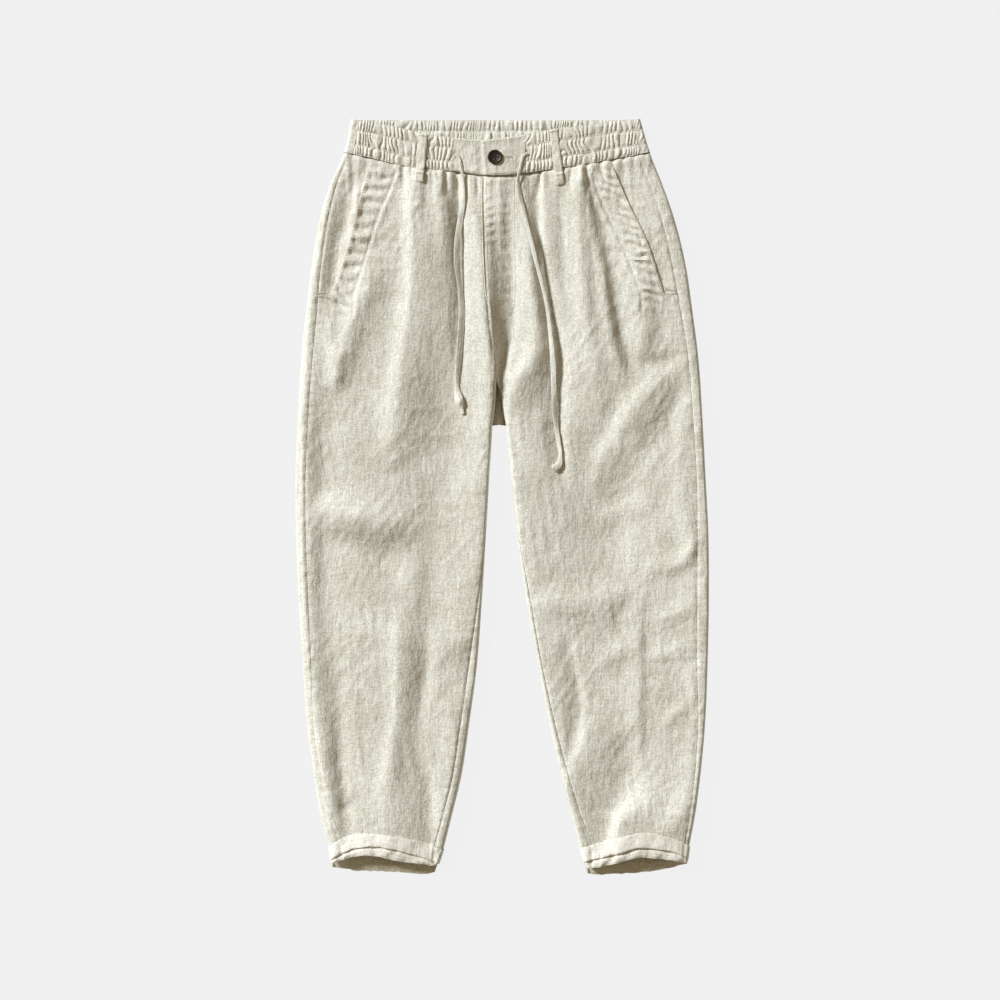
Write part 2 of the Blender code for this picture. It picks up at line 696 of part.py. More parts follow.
def centre_band(side, material):
    """One end of the band's flat buttoned middle."""
    across, low, high = np.array(CENTRE_RIGHT if side == "right" else CENTRE_LEFT).T
    outer, inner = [], []
    for share in CENTRE_ROWS:
        drop = on_front_band(across, share)
        base = base_height(across, drop)
        rounding = CENTRE_EDGE if share in (0.0, 1.0) else 0.0
        outer.append(placed((across, drop, base + high - rounding)))
        inner.append(placed((across, drop, base + low)))
    return wall(f"waistband_centre_{side}", np.array(outer), np.array(inner), material)


def band_fold(side, share, drop):
    """The back band's folded end at one row, from the surface round the edge to the side seam: across and
    height of its outer face, then of its inner face."""
    sign = SIDE_SIGN[side]
    turn = np.linspace(0, math.pi, EDGE_STEPS + 2)
    edge = sign * float(outline(side, OUTER, drop))
    lap = side_seam(side, share) + sign * SEAM / 2
    over_fold, over_lap = base_height(np.array([edge - sign * BAND_ROUND, lap]), drop) + BAND_PROUD
    half = over_fold / 2
    across = edge - sign * BAND_ROUND * (1 - np.sin(turn))
    height = half * (1 - np.cos(turn))
    across_in = edge - sign * (BAND_ROUND - (BAND_ROUND - BAND_THICK) * np.sin(turn))
    height_in = half - (half - BAND_THICK) * np.cos(turn)
    return (
        np.append(across, lap),
        np.append(height, over_lap),
        np.append(across_in, lap),
        np.append(height_in, over_lap - BAND_THICK),
    )


def back_band(material):
    """The back of the band: flat underneath, gathered on its upper face, folded up at both sides."""
    outer, inner = [], []
    for share in BACK_BAND_ROWS:
        drop = BAND_TOP + (BAND_DROP - SEAM - BAND_TOP) * share
        right = [part[::-1] for part in band_fold("right", share, drop)]
        left = band_fold("left", share, drop)
        flat = np.linspace(right[0][-1], left[0][0], 2 * GATHERS["back"] + 1)[1:-1]
        crest = np.arange(len(flat)) % 2
        ripple = GATHER_DEPTH * crest * (0.5 + 0.5 * channel_relief(share))
        across = np.concatenate([right[0], flat, left[0]])
        height = np.concatenate([right[1], 0 * flat, left[1]])
        across_in = np.concatenate([right[2], flat, left[2]])
        height_in = np.concatenate([right[3], BAND_THICK + ripple, left[3]])
        share_up = np.clip(height / full_edge(0), 0, 1)
        top_dip = (waist_top(across) - BAND_TOP) * (1 - share)
        seam_dip = (waist_seam(across) - BAND_DROP) * share
        drops = drop + (top_dip + seam_dip) * share_up
        outer.append(placed((across, drops, height)))
        inner.append(placed((across_in, drops, height_in)))
    return wall("waistband_back", np.array(outer), np.array(inner), material)


def cuff_edges(side, share_down):
    """Outer and inner side edge of a turn-up at a share of its height down."""
    top_outer, top_inner, low_outer, low_inner = HEM_EDGES[side]
    outer = top_outer + (low_outer - top_outer) * share_down
    inner = top_inner + (low_inner - top_inner) * share_down
    return SIDE_SIGN[side] * outer, SIDE_SIGN[side] * inner


def cuff_row(side, share_down, turn, share_in):
    """Across of a row of the turn-up from its outer edge to its inner edge. turn holds the angles round
    each side edge, measured from the flat part, and share_in the places between the two edges."""
    outer, inner = cuff_edges(side, share_down)
    toward = np.sign(inner - outer)
    flat = outer + toward * (CUFF_ROUND + (abs(inner - outer) - 2 * CUFF_ROUND) * share_in)
    folded = CUFF_ROUND * (1 - np.sin(turn))
    across = np.concatenate([outer + toward * folded[::-1], flat[1:-1], inner - toward * folded])
    way_out = np.concatenate([-toward * np.sin(turn[::-1]), 0 * flat[1:-1], toward * np.sin(turn)])
    return flat, across, way_out


def cuff_front(side, material):
    """The turned-up hem over the front: an outer roll, and the inner roll's lip below it."""
    turn = np.linspace(0, CUFF_TURN, EDGE_STEPS)
    even = np.linspace(0, 1, CUFF_FRONT_COLUMNS)
    share_in = even - 0.45 * np.sin(2 * math.pi * even) / (2 * math.pi)
    upright = np.concatenate([np.cos(turn[::-1]), 1 + 0 * share_in[1:-1], np.cos(turn)])
    share_up = (1 + upright) / 2

    def row_drop(across, share_up, way):
        share = hem_share(side, across)
        top, roll = cuff_top(side, across, share_up), HEM_CURVES[side][HEM_ROLL](share)
        lip = np.maximum(HEM_CURVES[side][HEM_LIP](share), roll + 1.8)
        return top + (roll - top) * min(way, 1) + (lip - roll) * max(way - 1, 0)

    outer_rows, inner_rows = [], []
    for way, proud, thick in CUFF_ROWS:
        flat, across, way_out = cuff_row(side, way / 2, turn, share_in)
        drop = row_drop(across, share_up, way)
        crest = top_height(flat, row_drop(flat, 1, way)) + proud
        crown = np.interp(np.abs(across), *ordered(np.abs(flat), crest))
        outer_rows.append(placed((across, drop, crown * share_up)))
        inner_rows.append(placed((across - way_out * thick, drop, crown * share_up - upright * thick)))
    return wall(f"cuff_front_{side}", np.array(outer_rows), np.array(inner_rows), material)


def ordered(keys, values):
    """Both lists sorted by the keys."""
    order = np.argsort(keys)
    return keys[order], values[order]


def cuff_back(side, material):
    """The turned-up hem under the leg, flat on the surface and folded up at both sides."""
    turn = np.linspace(0, CUFF_TURN, EDGE_STEPS)
    share_in = np.linspace(0, 1, CUFF_BACK_COLUMNS)
    upright = np.concatenate([np.cos(turn[::-1]), 1 + 0 * share_in[1:-1], np.cos(turn)])
    share_up = (1 - upright) / 2
    outer_rows, inner_rows = [], []
    for down, thick in CUFF_BACK_ROWS:
        _, across, way_out = cuff_row(side, down, turn, share_in)
        start = cuff_top(side, across, share_up)
        drop = start + (HEM_CURVES[side][HEM_BACK](hem_share(side, across)) - start) * down
        height = full_edge(CUFF_START) * share_up
        outer_rows.append(placed((across, drop, height)))
        inner_rows.append(placed((across - way_out * thick, drop, height + upright * thick)))
    return wall(f"cuff_back_{side}", np.array(outer_rows), np.array(inner_rows), material)


class Resting:
    """Finds the height of the pieces that a trimming lies on."""

    def __init__(self, pieces):
        vertices, faces = [], []
        for piece in pieces:
            first = len(vertices)
            vertices += [v.co.copy() for v in piece.data.vertices]
            faces += [[first + i for i in polygon.vertices] for polygon in piece.data.polygons]
        self.tree = BVHTree.FromPolygons(vertices, faces)
        self.points = np.array([v[:] for v in vertices]) / MM

    def height(self, across, drop, reach):
        """Highest point within reach of a place, across and along."""
        x, y, _ = placed((across, drop, 0.0)) / MM
        near = np.all(np.abs(self.points[:, :2] - (x, y)) < reach, axis=1)
        highest = self.points[near, 2].max(initial=0.0)
        for x_step in (-reach, 0, reach):
            for y_step in (-reach, 0, reach):
                above = Vector((x + x_step, y + y_step, 100)) * MM
                hit = self.tree.ray_cast(above, Vector((0, 0, -1)))[0]
                highest = max(highest, hit.z / MM if hit else 0.0)
        return highest


def belt_loop(name, start, end, under, material):
    """A belt loop sewn at the band's top edge and, folded under, just below the waist seam."""
    run = np.array(end, float) - np.array(start, float)
    aside = np.array([run[1], -run[0]]) / float(np.hypot(*run)) * LOOP_WIDTH / 2
    outer, inner = [], []
    for along, thick in LOOP_ROWS:
        middle = np.array(start) + run * along
        across = middle[0] + aside[0] * np.linspace(-1, 1, 3)
        drop = middle[1] + aside[1] * np.linspace(-1, 1, 3)
        support = SEAM + max(under.height(x, d, LOOP_REACH) for x, d in zip(across, drop))
        outer.append(placed((across, drop, np.full(3, support + thick))))
        inner.append(placed((across, drop, np.full(3, support))))
    return wall(name, np.array(outer), np.array(inner), material)


def button(under, material):
    """The waist button: a dished disc with a raised rim and four holes."""
    across, drop = BUTTON_PLACE
    rest = under.height(across, drop, BUTTON_PROFILE[1][0]) + SEAM
    vertices, faces, rings = [], [], []
    for radius, height in BUTTON_PROFILE:
        ring = []
        for k in range(BUTTON_STEPS if radius > 0 else 1):
            angle = 2 * math.pi * k / BUTTON_STEPS
            ring.append(len(vertices))
            place = (across + radius * math.cos(angle), drop + radius * math.sin(angle), rest + height)
            vertices.append(placed(place))
        rings.append(ring)
    for low, high in zip(rings, rings[1:]):
        for k in range(BUTTON_STEPS):
            a, b = low[k % len(low)], low[(k + 1) % len(low)]
            c, d = high[(k + 1) % len(high)], high[k % len(high)]
            faces.append(tuple(dict.fromkeys((a, b, c, d))))
    made = finished("button", vertices, faces, material)
    for k in range(4):
        angle = math.pi / 4 + k * math.pi / 2
        x, d = across + BUTTON_HOLE_OFFSET * math.cos(angle), drop + BUTTON_HOLE_OFFSET * math.sin(angle)
        radius, depth = BUTTON_HOLE_RADIUS * MM, 10 * MM
        bpy.ops.mesh.primitive_cylinder_add(
            vertices=8, radius=radius, depth=depth, location=placed((x, d, rest))
        )
        cutter = bpy.context.object
        cutter.name = f"button_hole_cutter_{k}"
        cutter.hide_render = True
        cutter.display_type = "WIRE"
        cut = made.modifiers.new(f"hole_{k}", "BOOLEAN")
        cut.operation = "DIFFERENCE"
        cut.solver = "EXACT"
        cut.object = cutter
    return made


def drawstring(side, under, material):
    """One free end of the drawstring: a narrow tape of linen along its route, oval in section."""
    route = STRINGS[side]
    measure = np.append(0, np.cumsum([math.dist(a, b) for a, b in zip(route, route[1:])]))
    x_curve = smooth_curve(measure, [p[0] for p in route])
    d_curve = smooth_curve(measure, [p[1] for p in route])
    places = np.linspace(0, measure[-1], int(measure[-1] / TAPE_STEP) + 1)
    middle = np.stack([x_curve(places), d_curve(places)], axis=-1)
    half_step = measure[-1] / (len(places) - 1) / 2
    supports = []
    for step in (-half_step, 0, half_step):
        beside = zip(x_curve(places + step), d_curve(places + step))
        supports.append([under.height(x, d, TAPE_WIDTH / 2 + 0.7) for x, d in beside])
    height = np.max(supports, axis=0) + SEAM + TAPE_THICKNESS / 2
    run = np.gradient(middle, axis=0)
    aside = np.stack([run[:, 1], -run[:, 0]], axis=-1) / np.linalg.norm(run, axis=1, keepdims=True)
    vertices, faces = [], []
    sides = len(TAPE_SECTION)
    for i in range(len(places)):
        for wide, up in TAPE_SECTION:
            x, d = middle[i] + aside[i] * wide * TAPE_WIDTH / 2
            vertices.append(placed((x, d, height[i] + up * TAPE_THICKNESS / 2)))
    for i in range(len(places) - 1):
        for k in range(sides):
            a, b = i * sides + k, i * sides + (k + 1) % sides
            faces.append((a, b, b + sides, a + sides))
    faces.append(tuple(reversed(range(sides))))
    faces.append(tuple(range(len(vertices) - sides, len(vertices))))
    return finished(f"drawstring_{side}", vertices, faces, material)


def main():
    for old in list(bpy.data.objects):
        bpy.data.objects.remove(old)
    linen, band, tape, horn = (plain_material(name) for name in MATERIALS)
    fronts, bands = [], []
    for side in SIDE_SIGN:
        back_panel(side, linen)
        pocket_facing(side, linen)
        cuff_back(side, linen)
        cuff_front(side, linen)
        fronts.append(front_panel(side, linen))
        bands.append(centre_band(side, band))
        bands.append(gathered_band(side, band))
    back_band(band)
    under = Resting(fronts + bands)
    for side, (start, end) in LOOPS.items():
        belt_loop(f"belt_loop_{side}", start, end, under, band)
    for side in SIDE_SIGN:
        drawstring(side, under, tape)
    button(under, horn)


main()
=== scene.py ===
# %% [markdown]
# # Linen drawstring trousers, laid flat
# The real garment is cut from one linen cloth: two fronts, two backs, pocket pieces, a waistband that is
# gathered over elastic, belt loops and turned-up hems. It lies on its back on a pale table.
# Every cloth piece here is a grid of points that a few small functions work out, closed into a thin wall.
# Grids are chosen over sculpting because two pieces that share a function meet exactly at their seam.

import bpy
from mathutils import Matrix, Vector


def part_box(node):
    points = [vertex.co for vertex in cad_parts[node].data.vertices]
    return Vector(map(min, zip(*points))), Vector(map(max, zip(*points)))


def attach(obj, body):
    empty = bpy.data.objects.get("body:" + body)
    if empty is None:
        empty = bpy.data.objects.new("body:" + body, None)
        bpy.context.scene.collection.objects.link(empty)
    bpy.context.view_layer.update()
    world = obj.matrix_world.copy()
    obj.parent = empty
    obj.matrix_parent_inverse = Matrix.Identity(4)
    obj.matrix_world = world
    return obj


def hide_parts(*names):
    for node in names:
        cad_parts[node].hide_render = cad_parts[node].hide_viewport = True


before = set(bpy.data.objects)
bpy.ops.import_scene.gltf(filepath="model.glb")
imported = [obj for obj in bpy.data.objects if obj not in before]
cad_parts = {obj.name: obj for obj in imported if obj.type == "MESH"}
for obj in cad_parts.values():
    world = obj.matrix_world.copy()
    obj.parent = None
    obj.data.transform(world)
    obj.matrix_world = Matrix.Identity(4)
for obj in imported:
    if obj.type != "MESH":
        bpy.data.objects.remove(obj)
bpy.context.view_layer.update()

# %% Tools
import math

import bpy
import numpy as np
from mathutils import Vector
from mathutils.bvhtree import BVHTree

MM = 0.001
MIDDLE_ACROSS = 5.0  # mm from the garment's centre line to the frame's origin
MIDDLE_DROP = 473.1  # mm from the waist's top down to the frame's origin
scene = bpy.context.scene


def placed(across, drop, height):
    """Garment places in millimetres (towards the wearer's left, down from the waist, up) as frame metres."""
    points = np.broadcast_arrays(across - MIDDLE_ACROSS, MIDDLE_DROP - drop, height)
    return np.stack(points, axis=-1) * MM


# %% [markdown]
# ## Camera, table and light
# A camera straight above with a long lens shows laid-out clothes with hardly any perspective. One broad lamp
# from the upper left draws the folds. The room around it fills their dark sides with a weaker, warmer light,
# which is simpler than a second lamp and casts no shadows of its own. The table is matt white and lit so
# evenly that it gives off its light itself, over a dark ground that takes only faint shadows.

# %% Camera
VIEW_WIDTH = 1.25  # metres across the view at the table
CAMERA_PLACE = (-0.0025, -0.00315, 3.2)  # metres, over the middle of the garment
camera_data = bpy.data.cameras.new("camera")
camera_data.lens = camera_data.sensor_width * CAMERA_PLACE[2] / VIEW_WIDTH
camera = bpy.data.objects.new("camera", camera_data)
camera.location = CAMERA_PLACE
scene.collection.objects.link(camera)
scene.camera = camera
print("lens:", round(camera_data.lens, 1), "mm")

# %% Colour and nodes
scene.view_settings.view_transform = "Standard"


def srgb(hex_text):
    """An sRGB hex value as linear RGBA."""
    channels = [int(hex_text[i : i + 2], 16) / 255 for i in (1, 3, 5)]
    return tuple(c / 12.92 if c <= 0.04045 else ((c + 0.055) / 1.055) ** 2.4 for c in channels) + (1.0,)


def node(tree, kind, settings=None, **inputs):
    """Adds a node, and sets or links its inputs by name, with _ for a space, or by number, as in _0."""
    made = tree.nodes.new(kind)
    for key, value in (settings or {}).items():
        setattr(made, key, value)
    for key, value in inputs.items():
        number = key[1:].isdigit() and key[0] == "_"
        socket = made.inputs[int(key[1:])] if number else made.inputs[key.replace("_", " ")]
        if isinstance(value, bpy.types.NodeSocket):
            tree.links.new(value, socket)
        else:
            socket.default_value = value
    return made


def new_material(name):
    """An empty node material with its output and its shader."""
    material = bpy.data.materials.new(name)
    material.use_nodes = True
    tree = material.node_tree
    return material, tree, tree.nodes["Principled BSDF"]


# %% Lamp and room
KEY = 4.5
KEY_COLOUR = "#f4f9ff"
KEY_WAY = (0.70, -0.50, -0.50)  # the way its light runs: across, towards the hems and onto the table
KEY_SOFT = math.radians(12)
ROOM = 0.235
ROOM_COLOUR = "#ffeac6"
lamp_data = bpy.data.lights.new("key", "SUN")
lamp_data.energy = KEY
lamp_data.color = srgb(KEY_COLOUR)[:3]
lamp_data.angle = KEY_SOFT
lamp = bpy.data.objects.new("key", lamp_data)
lamp.rotation_mode = "QUATERNION"
lamp.rotation_quaternion = Vector(KEY_WAY).to_track_quat("-Z", "Y")
scene.collection.objects.link(lamp)
scene.world = bpy.data.worlds.new("room")
scene.world.use_nodes = True
room = scene.world.node_tree.nodes["Background"]
room.inputs["Color"].default_value = srgb(ROOM_COLOUR)
room.inputs["Strength"].default_value = ROOM
print("lamp:", KEY, "room:", ROOM)

# %% Table
TABLE_HALF = 20.0  # metres from its middle to its edge, out of every view
TABLE_BELOW = 0.001  # metres under the cloth, so that the two never touch
TABLE_GLOW = 0.975
corners = [(x * TABLE_HALF, y * TABLE_HALF, -TABLE_BELOW) for x, y in ((-1, -1), (1, -1), (1, 1), (-1, 1))]
table_mesh = bpy.data.meshes.new("table")
table_mesh.from_pydata(corners, [], [(0, 1, 2, 3)])
table = bpy.data.objects.new("table", table_mesh)
scene.collection.objects.link(table)
laminate, _, shader = new_material("matt_white_laminate")
shader.inputs["Base Color"].default_value = srgb("#202020")
shader.inputs["Roughness"].default_value = 0.9
shader.inputs["Specular IOR Level"].default_value = 0.1
shader.inputs["Emission Color"].default_value = srgb("#f1f1f1")
shader.inputs["Emission Strength"].default_value = TABLE_GLOW
table_mesh.materials.append(laminate)
print("table:", 2 * TABLE_HALF, "m across")

# %% [markdown]
# ## Linen
# Linen is spun from flax, so its threads swell and thin along their length. Woven plainly in two directions,
# those slubs show as short pale and dark dashes that cross. The cloth is undyed off-white, matt, with
# almost no gloss. Two stretched noises make the dashes, a third clouds the colour as washing does, and a
# fine grain in the bump breaks up the light as the hairy thread does. The wrong side is coloured darker and
# yellower as painted shade, for the shadow inside the hems' openings. The turn-ups are coloured paler as
# painted light, for the light on their rolls.

# %% Woven linen
THREAD = 1.5  # mm between the drawn threads; the real ones are 0.5 mm apart, too fine to show
SLUB = 22.0  # mm, a slub's length
GRAIN = 2.4  # mm between the drawn nubs of the thread; the real ones are under a millimetre apart
CLOUD = 60.0  # mm, the size of the patches that washing leaves
CRINKLE = 6.5  # mm, the size of the finest creases that washing leaves
CRINKLE_PULL = 0.45  # those creases are longer down the leg than across it, by one over this
CRINKLE_RISE = 1.5  # mm
CLOTH_LIGHT = "#edebe1"
CLOTH_DARK = "#c8c5b5"


def woven_linen(name, light, dark, slub_shade, weave_depth):
    """Plain-woven washed linen between two shades."""
    material, tree, shader = new_material(name)
    place = node(tree, "ShaderNodeTexCoord").outputs["Object"]
    noise = {}
    for thread, along, shift in (("warp", 1, 0.0), ("weft", 0, 7.3)):
        stretch = [1 / (THREAD * MM)] * 3
        stretch[along] = 1 / (SLUB * MM)
        mapped = node(tree, "ShaderNodeMapping", Vector=place, Scale=stretch, Location=(shift, shift, 0))
        made = node(tree, "ShaderNodeTexNoise", Vector=mapped.outputs[0], Scale=1.0, Detail=3.0)
        noise[thread] = made.outputs["Fac"]
    grain = node(tree, "ShaderNodeTexNoise", Vector=place, Scale=1 / (GRAIN * MM), Detail=4.0)
    cloud = node(tree, "ShaderNodeTexNoise", Vector=place, Scale=1 / (CLOUD * MM), Detail=3.0)
    threads = node(tree, "ShaderNodeMath", {"operation": "ADD"}, _0=noise["warp"], _1=noise["weft"])
    half_plus = {"operation": "MULTIPLY_ADD"}
    rough = node(tree, "ShaderNodeMath", half_plus, _0=threads.outputs[0], _1=0.5, _2=grain.outputs["Fac"])
    slubs = node(
        tree, "ShaderNodeMapRange", Value=rough.outputs[0], _1=0.8, _2=1.2, _3=-slub_shade, _4=slub_shade
    )
    shade = node(tree, "ShaderNodeMath", half_plus, _0=cloud.outputs["Fac"], _1=0.5, _2=slubs.outputs[0])
    share = node(tree, "ShaderNodeMapRange", Value=shade.outputs[0], _1=0.0, _2=0.5)
    colour = node(
        tree, "ShaderNodeMix", {"data_type": "RGBA"}, _0=share.outputs[0], _6=srgb(dark), _7=srgb(light)
    )
    weave = node(tree, "ShaderNodeBump", Strength=0.7, Distance=weave_depth * MM, Height=rough.outputs[0])
    pull = [scale / (CRINKLE * MM) for scale in (1, CRINKLE_PULL, 1)]
    pulled = node(tree, "ShaderNodeMapping", Vector=place, Scale=pull)
    creases = node(tree, "ShaderNodeTexNoise", Vector=pulled.outputs[0], Scale=1.0, Detail=4.0).outputs["Fac"]
    crinkle = node(tree, "ShaderNodeBump", Strength=0.9, Distance=CRINKLE_RISE * MM, Height=creases)
    tree.links.new(weave.outputs[0], crinkle.inputs["Normal"])
    tree.links.new(colour.outputs[2], shader.inputs["Base Color"])
    tree.links.new(crinkle.outputs[0], shader.inputs["Normal"])
    shader.inputs["Roughness"].default_value = 0.9
    shader.inputs["Specular IOR Level"].default_value = 0.2
    shader.inputs["Sheen Weight"].default_value = 0.08
    shader.inputs["Sheen Roughness"].default_value = 0.5
    return material


linen = woven_linen("washed_linen", CLOTH_LIGHT, CLOTH_DARK, 0.24, 0.6)
# the wrong side's darker, yellower colour is painted shade, for the shadow inside the hems' openings
shaded_inside_linen = woven_linen("washed_linen_painted_shade_inside", "#efe9d6", "#c9c1a8", 0.24, 0.6)
# the turn-ups' paler colour is painted light, for the light on their rolls
lit_turned_linen = woven_linen("washed_linen_turned_up_painted_light", "#f8f6ec", "#d9d6c8", 0.22, 0.5)
linen_band = woven_linen("washed_linen_waistband", CLOTH_LIGHT, CLOTH_DARK, 0.2, 0.4)
tape_linen = woven_linen("woven_linen_tape", CLOTH_LIGHT, CLOTH_DARK, 0.15, 0.3)

# %% [markdown]
# ## Thread and button
# The sewing thread is matt cotton, a shade darker than the cloth. The button is almost black horn or resin,
# turned and rubbed to a soft polish, so its raised rim catches a thin, blurred line of light. It is sewn on
# with dark thread. Both waver between two near shades, as spun fibre and horn do.

# %% Sewing thread and polished horn
def two_shades(name, dark, light, scale, roughness):
    """A material whose colour wavers between two shades along a fine grain."""
    material, tree, shader = new_material(name)
    place = node(tree, "ShaderNodeTexCoord").outputs["Object"]
    mapped = node(tree, "ShaderNodeMapping", Vector=place, Scale=scale)
    fibre = node(tree, "ShaderNodeTexNoise", Vector=mapped.outputs[0], Scale=1.0, Detail=3.0)
    colour = node(
        tree, "ShaderNodeMix", {"data_type": "RGBA"}, _0=fibre.outputs["Fac"], _6=srgb(dark), _7=srgb(light)
    )
    worn = node(tree, "ShaderNodeBump", Strength=0.15, Distance=0.1 * MM, Height=fibre.outputs["Fac"])
    tree.links.new(colour.outputs[2], shader.inputs["Base Color"])
    tree.links.new(worn.outputs[0], shader.inputs["Normal"])
    shader.inputs["Roughness"].default_value = roughness
    return material, shader


FIBRES = (2500, 2500, 2500)  # to the metre
HORN_LAYERS = (300, 900, 300)  # to the metre, finer one way, as horn grows
cotton, _ = two_shades("spun_cotton_thread", "#b9b39d", "#dad4c1", FIBRES, 0.8)
dark_cotton, _ = two_shades("spun_dark_thread", "#3f3424", "#6e5e46", FIBRES, 0.8)
horn, shader = two_shades("polished_dark_horn", "#191107", "#2c2013", HORN_LAYERS, 0.5)
shader.inputs["IOR"].default_value = 1.54
print("materials:", len(bpy.data.materials))

# %% [markdown]
# ## The shape of the trousers
# The outline is measured in sections: every few centimetres down the leg, how far out the side edges are and
# how far in from them the seams show. A cubic curve through each column gives every place between. The same
# tables size the solid parts of the frame, so these finer shells lie on them.

# %% Outline tables, in millimetres
# drop | right: outer edge, inner edge, outseam, inseam | left: the same
OUTLINE = (
    (0, 183.0, 7.0, 8.0, 0.0, 177.0, 10.0, 14.0, 0.0),
    (46, 192.5, 7.0, 6.0, 0.0, 190.0, 10.0, 16.0, 0.0),
    (80, 208.0, 7.0, 8.5, 0.0, 203.5, 10.0, 16.5, 0.0),
    (120, 221.0, 7.0, 11.0, 0.0, 218.0, 10.0, 17.0, 0.0),
    (180, 232.0, 7.0, 12.0, 0.0, 233.5, 10.0, 17.5, 0.0),
    (240, 239.5, 7.0, 14.0, 0.0, 242.5, 10.0, 15.5, 0.0),
    (300, 245.5, 7.0, 14.5, 0.0, 250.0, 10.0, 13.5, 0.0),
    (383, 250.5, 7.0, 13.5, 0.0, 255.5, 10.0, 12.5, 0.0),
    (450, 253.0, 11.0, 13.0, 0.0, 259.0, 17.0, 12.0, 0.0),
    (520, 252.0, 15.0, 12.5, 0.5, 262.5, 24.0, 14.5, 1.5),
    (600, 249.0, 20.0, 12.5, 4.5, 263.0, 35.0, 15.3, 5.0),
    (680, 243.7, 26.0, 11.0, 10.0, 261.5, 49.7, 14.0, 4.5),
    (760, 238.0, 36.5, 8.0, 11.0, 258.0, 65.0, 9.5, 7.0),
    (820, 230.0, 45.5, 9.0, 11.0, 252.4, 79.0, 8.0, 8.7),
    (870, 221.5, 57.5, 13.0, 11.5, 246.0, 91.0, 7.6, 12.0),
    (912, 210.5, 68.0, 16.0, 11.5, 238.5, 102.5, 7.0, 14.0),
)
# drop, height of the fullest place, height of the folded edges
FULLNESS = (
    (0, 13.5, 9.0),
    (46, 15.5, 9.0),
    (120, 17.0, 8.0),
    (250, 17.0, 7.5),
    (383, 14.5, 7.0),
    (520, 13.0, 7.0),
    (700, 13.0, 6.5),
    (820, 15.0, 7.0),
    (912, 18.0, 8.0),
    (950, 18.0, 8.0),
)
CENTRE_FRONT = ((0, -16.5), (130, -16.5), (180, -15.0), (237, -11.5), (290, -6.5), (340, -1.0), (383, 1.5))
# across, drop of the band's top edge, drop of the waist seam
WAIST_FRONT = (
    (-193, 1.0, 43.0),
    (-160, 5.0, 50.0),
    (-120, 14.0, 60.0),
    (-84, 22.0, 64.5),
    (-52, 26.0, 67.5),
    (-18, 28.0, 72.0),
    (4, 26.0, 72.5),
    (34, 21.5, 69.5),
    (67, 15.0, 64.5),
    (109, 9.5, 58.0),
    (148, 4.5, 51.0),
    (190, 0.5, 43.0),
)
# drop, pocket mouth on the right front, on the left front
POCKET_MOUTH = ((46, -157.0, 139.0), (106, -173.0, 163.0), (157, -186.0, 186.0), (220, -207.0, 206.5))

# share of the way in from a hem's outer edge, then the drops of its top, its roll's end, its lip and the
# edge of its back
HEMS = {
    "right": (
        (0.0, 906.5, 926, 930, 934),
        (0.1, 898, 917, 925, 936),
        (0.22, 892, 910, 920, 939),
        (0.43, 892, 907.5, 919, 940),
        (0.6, 895, 912, 925, 941),
        (0.87, 904, 924, 930, 943),
        (1.0, 912, 932, 935, 937),
    ),
    "left": (
        (0.0, 906, 924, 929, 930),
        (0.12, 899, 915, 925.5, 934),
        (0.28, 892.5, 911.5, 922.5, 939),
        (0.45, 890, 909, 920.5, 941.5),
        (0.65, 896, 916, 927, 943),
        (0.88, 905, 924, 934, 944),
        (1.0, 909, 929, 937, 940),
    ),
}

# lengths and places in millimetres: across from the centre line, or down from the waist's top
CLOTH = 1.2  # drawn thickness of one layer
SEAM = 0.3  # left open between two pieces at their seam
INSEAM_SPACE = 0.5
EDGE_ROUND = 3.5  # radius of the legs' folded edges
FORK = 329.0  # where the fronts begin to part, above the crotch
CROTCH = 383.0
BACK_CENTRE = 1.5  # the centre back seam
LEGS_START = 230.0  # where the one dome of the hips begins to turn into two
DIP_END = 190.0  # where the waist's dip has died out
ARCH_START = 810.0  # where the rows begin to bend towards the arched hems
FLY_LAP = 3.0  # how far the left front laps over the right one
FLY_RISE = 1.8  # how much higher it lies there
FLY_WIDE = 36.0  # how far in from its edge it is raised
FLY_END = 249.0  # where the lap has died out
FLY_FLAT = 345.0  # where its rise has died out
POCKET_END = 220.0
BAND_TOP = 2.0
BAND_DROP = 46.0
CUFF_START = 912.0
SIDE_SIGN = {"right": -1, "left": 1}
OUTER, INNER, OUTSEAM, INSEAM = range(4)
HEM_TOP, HEM_ROLL, HEM_LIP, HEM_BACK = range(4)

# %% Smooth curves through tables
def smooth_curve(stations, values):
    """A function through the given values that has no corners."""
    at = np.array(stations, float)
    value = np.array(values, float)
    slope = np.gradient(value, at)

    def curve(place):
        place = np.clip(place, at[0], at[-1])
        i = np.clip(np.searchsorted(at, place) - 1, 0, len(at) - 2)
        step = at[i + 1] - at[i]
        t = (place - at[i]) / step
        start = (2 * t**3 - 3 * t**2 + 1) * value[i] + (t**3 - 2 * t**2 + t) * step * slope[i]
        end = (3 * t**2 - 2 * t**3) * value[i + 1] + (t**3 - t**2) * step * slope[i + 1]
        return start + end

    return curve


def table_curves(table):
    """One smooth curve for each column after the first, over the first column."""
    columns = list(zip(*table))
    return [smooth_curve(columns[0], column) for column in columns[1:]]


def ease(value, low, high):
    """Rises smoothly from 0 at low to 1 at high."""
    t = np.clip((value - low) / (high - low), 0, 1)
    return t * t * (3 - 2 * t)


def span(value, start, full, fade, end):
    """Rises smoothly from 0 to 1 between start and full, and falls back to 0 between fade and end."""
    return ease(value, start, full) * (1 - ease(value, fade, end))


def places_through(marks, counts):
    """Even places from each mark to the next: so many of them with both marks, and no mark twice."""
    runs = [np.linspace(a, b, count) for a, b, count in zip(marks, marks[1:], counts)]
    return np.concatenate([run[bool(i) :] for i, run in enumerate(runs)])


def bell(away, width):
    """A soft bump: 1 at no distance, and almost 0 at twice the width."""
    return np.exp(-((away / width) ** 2))


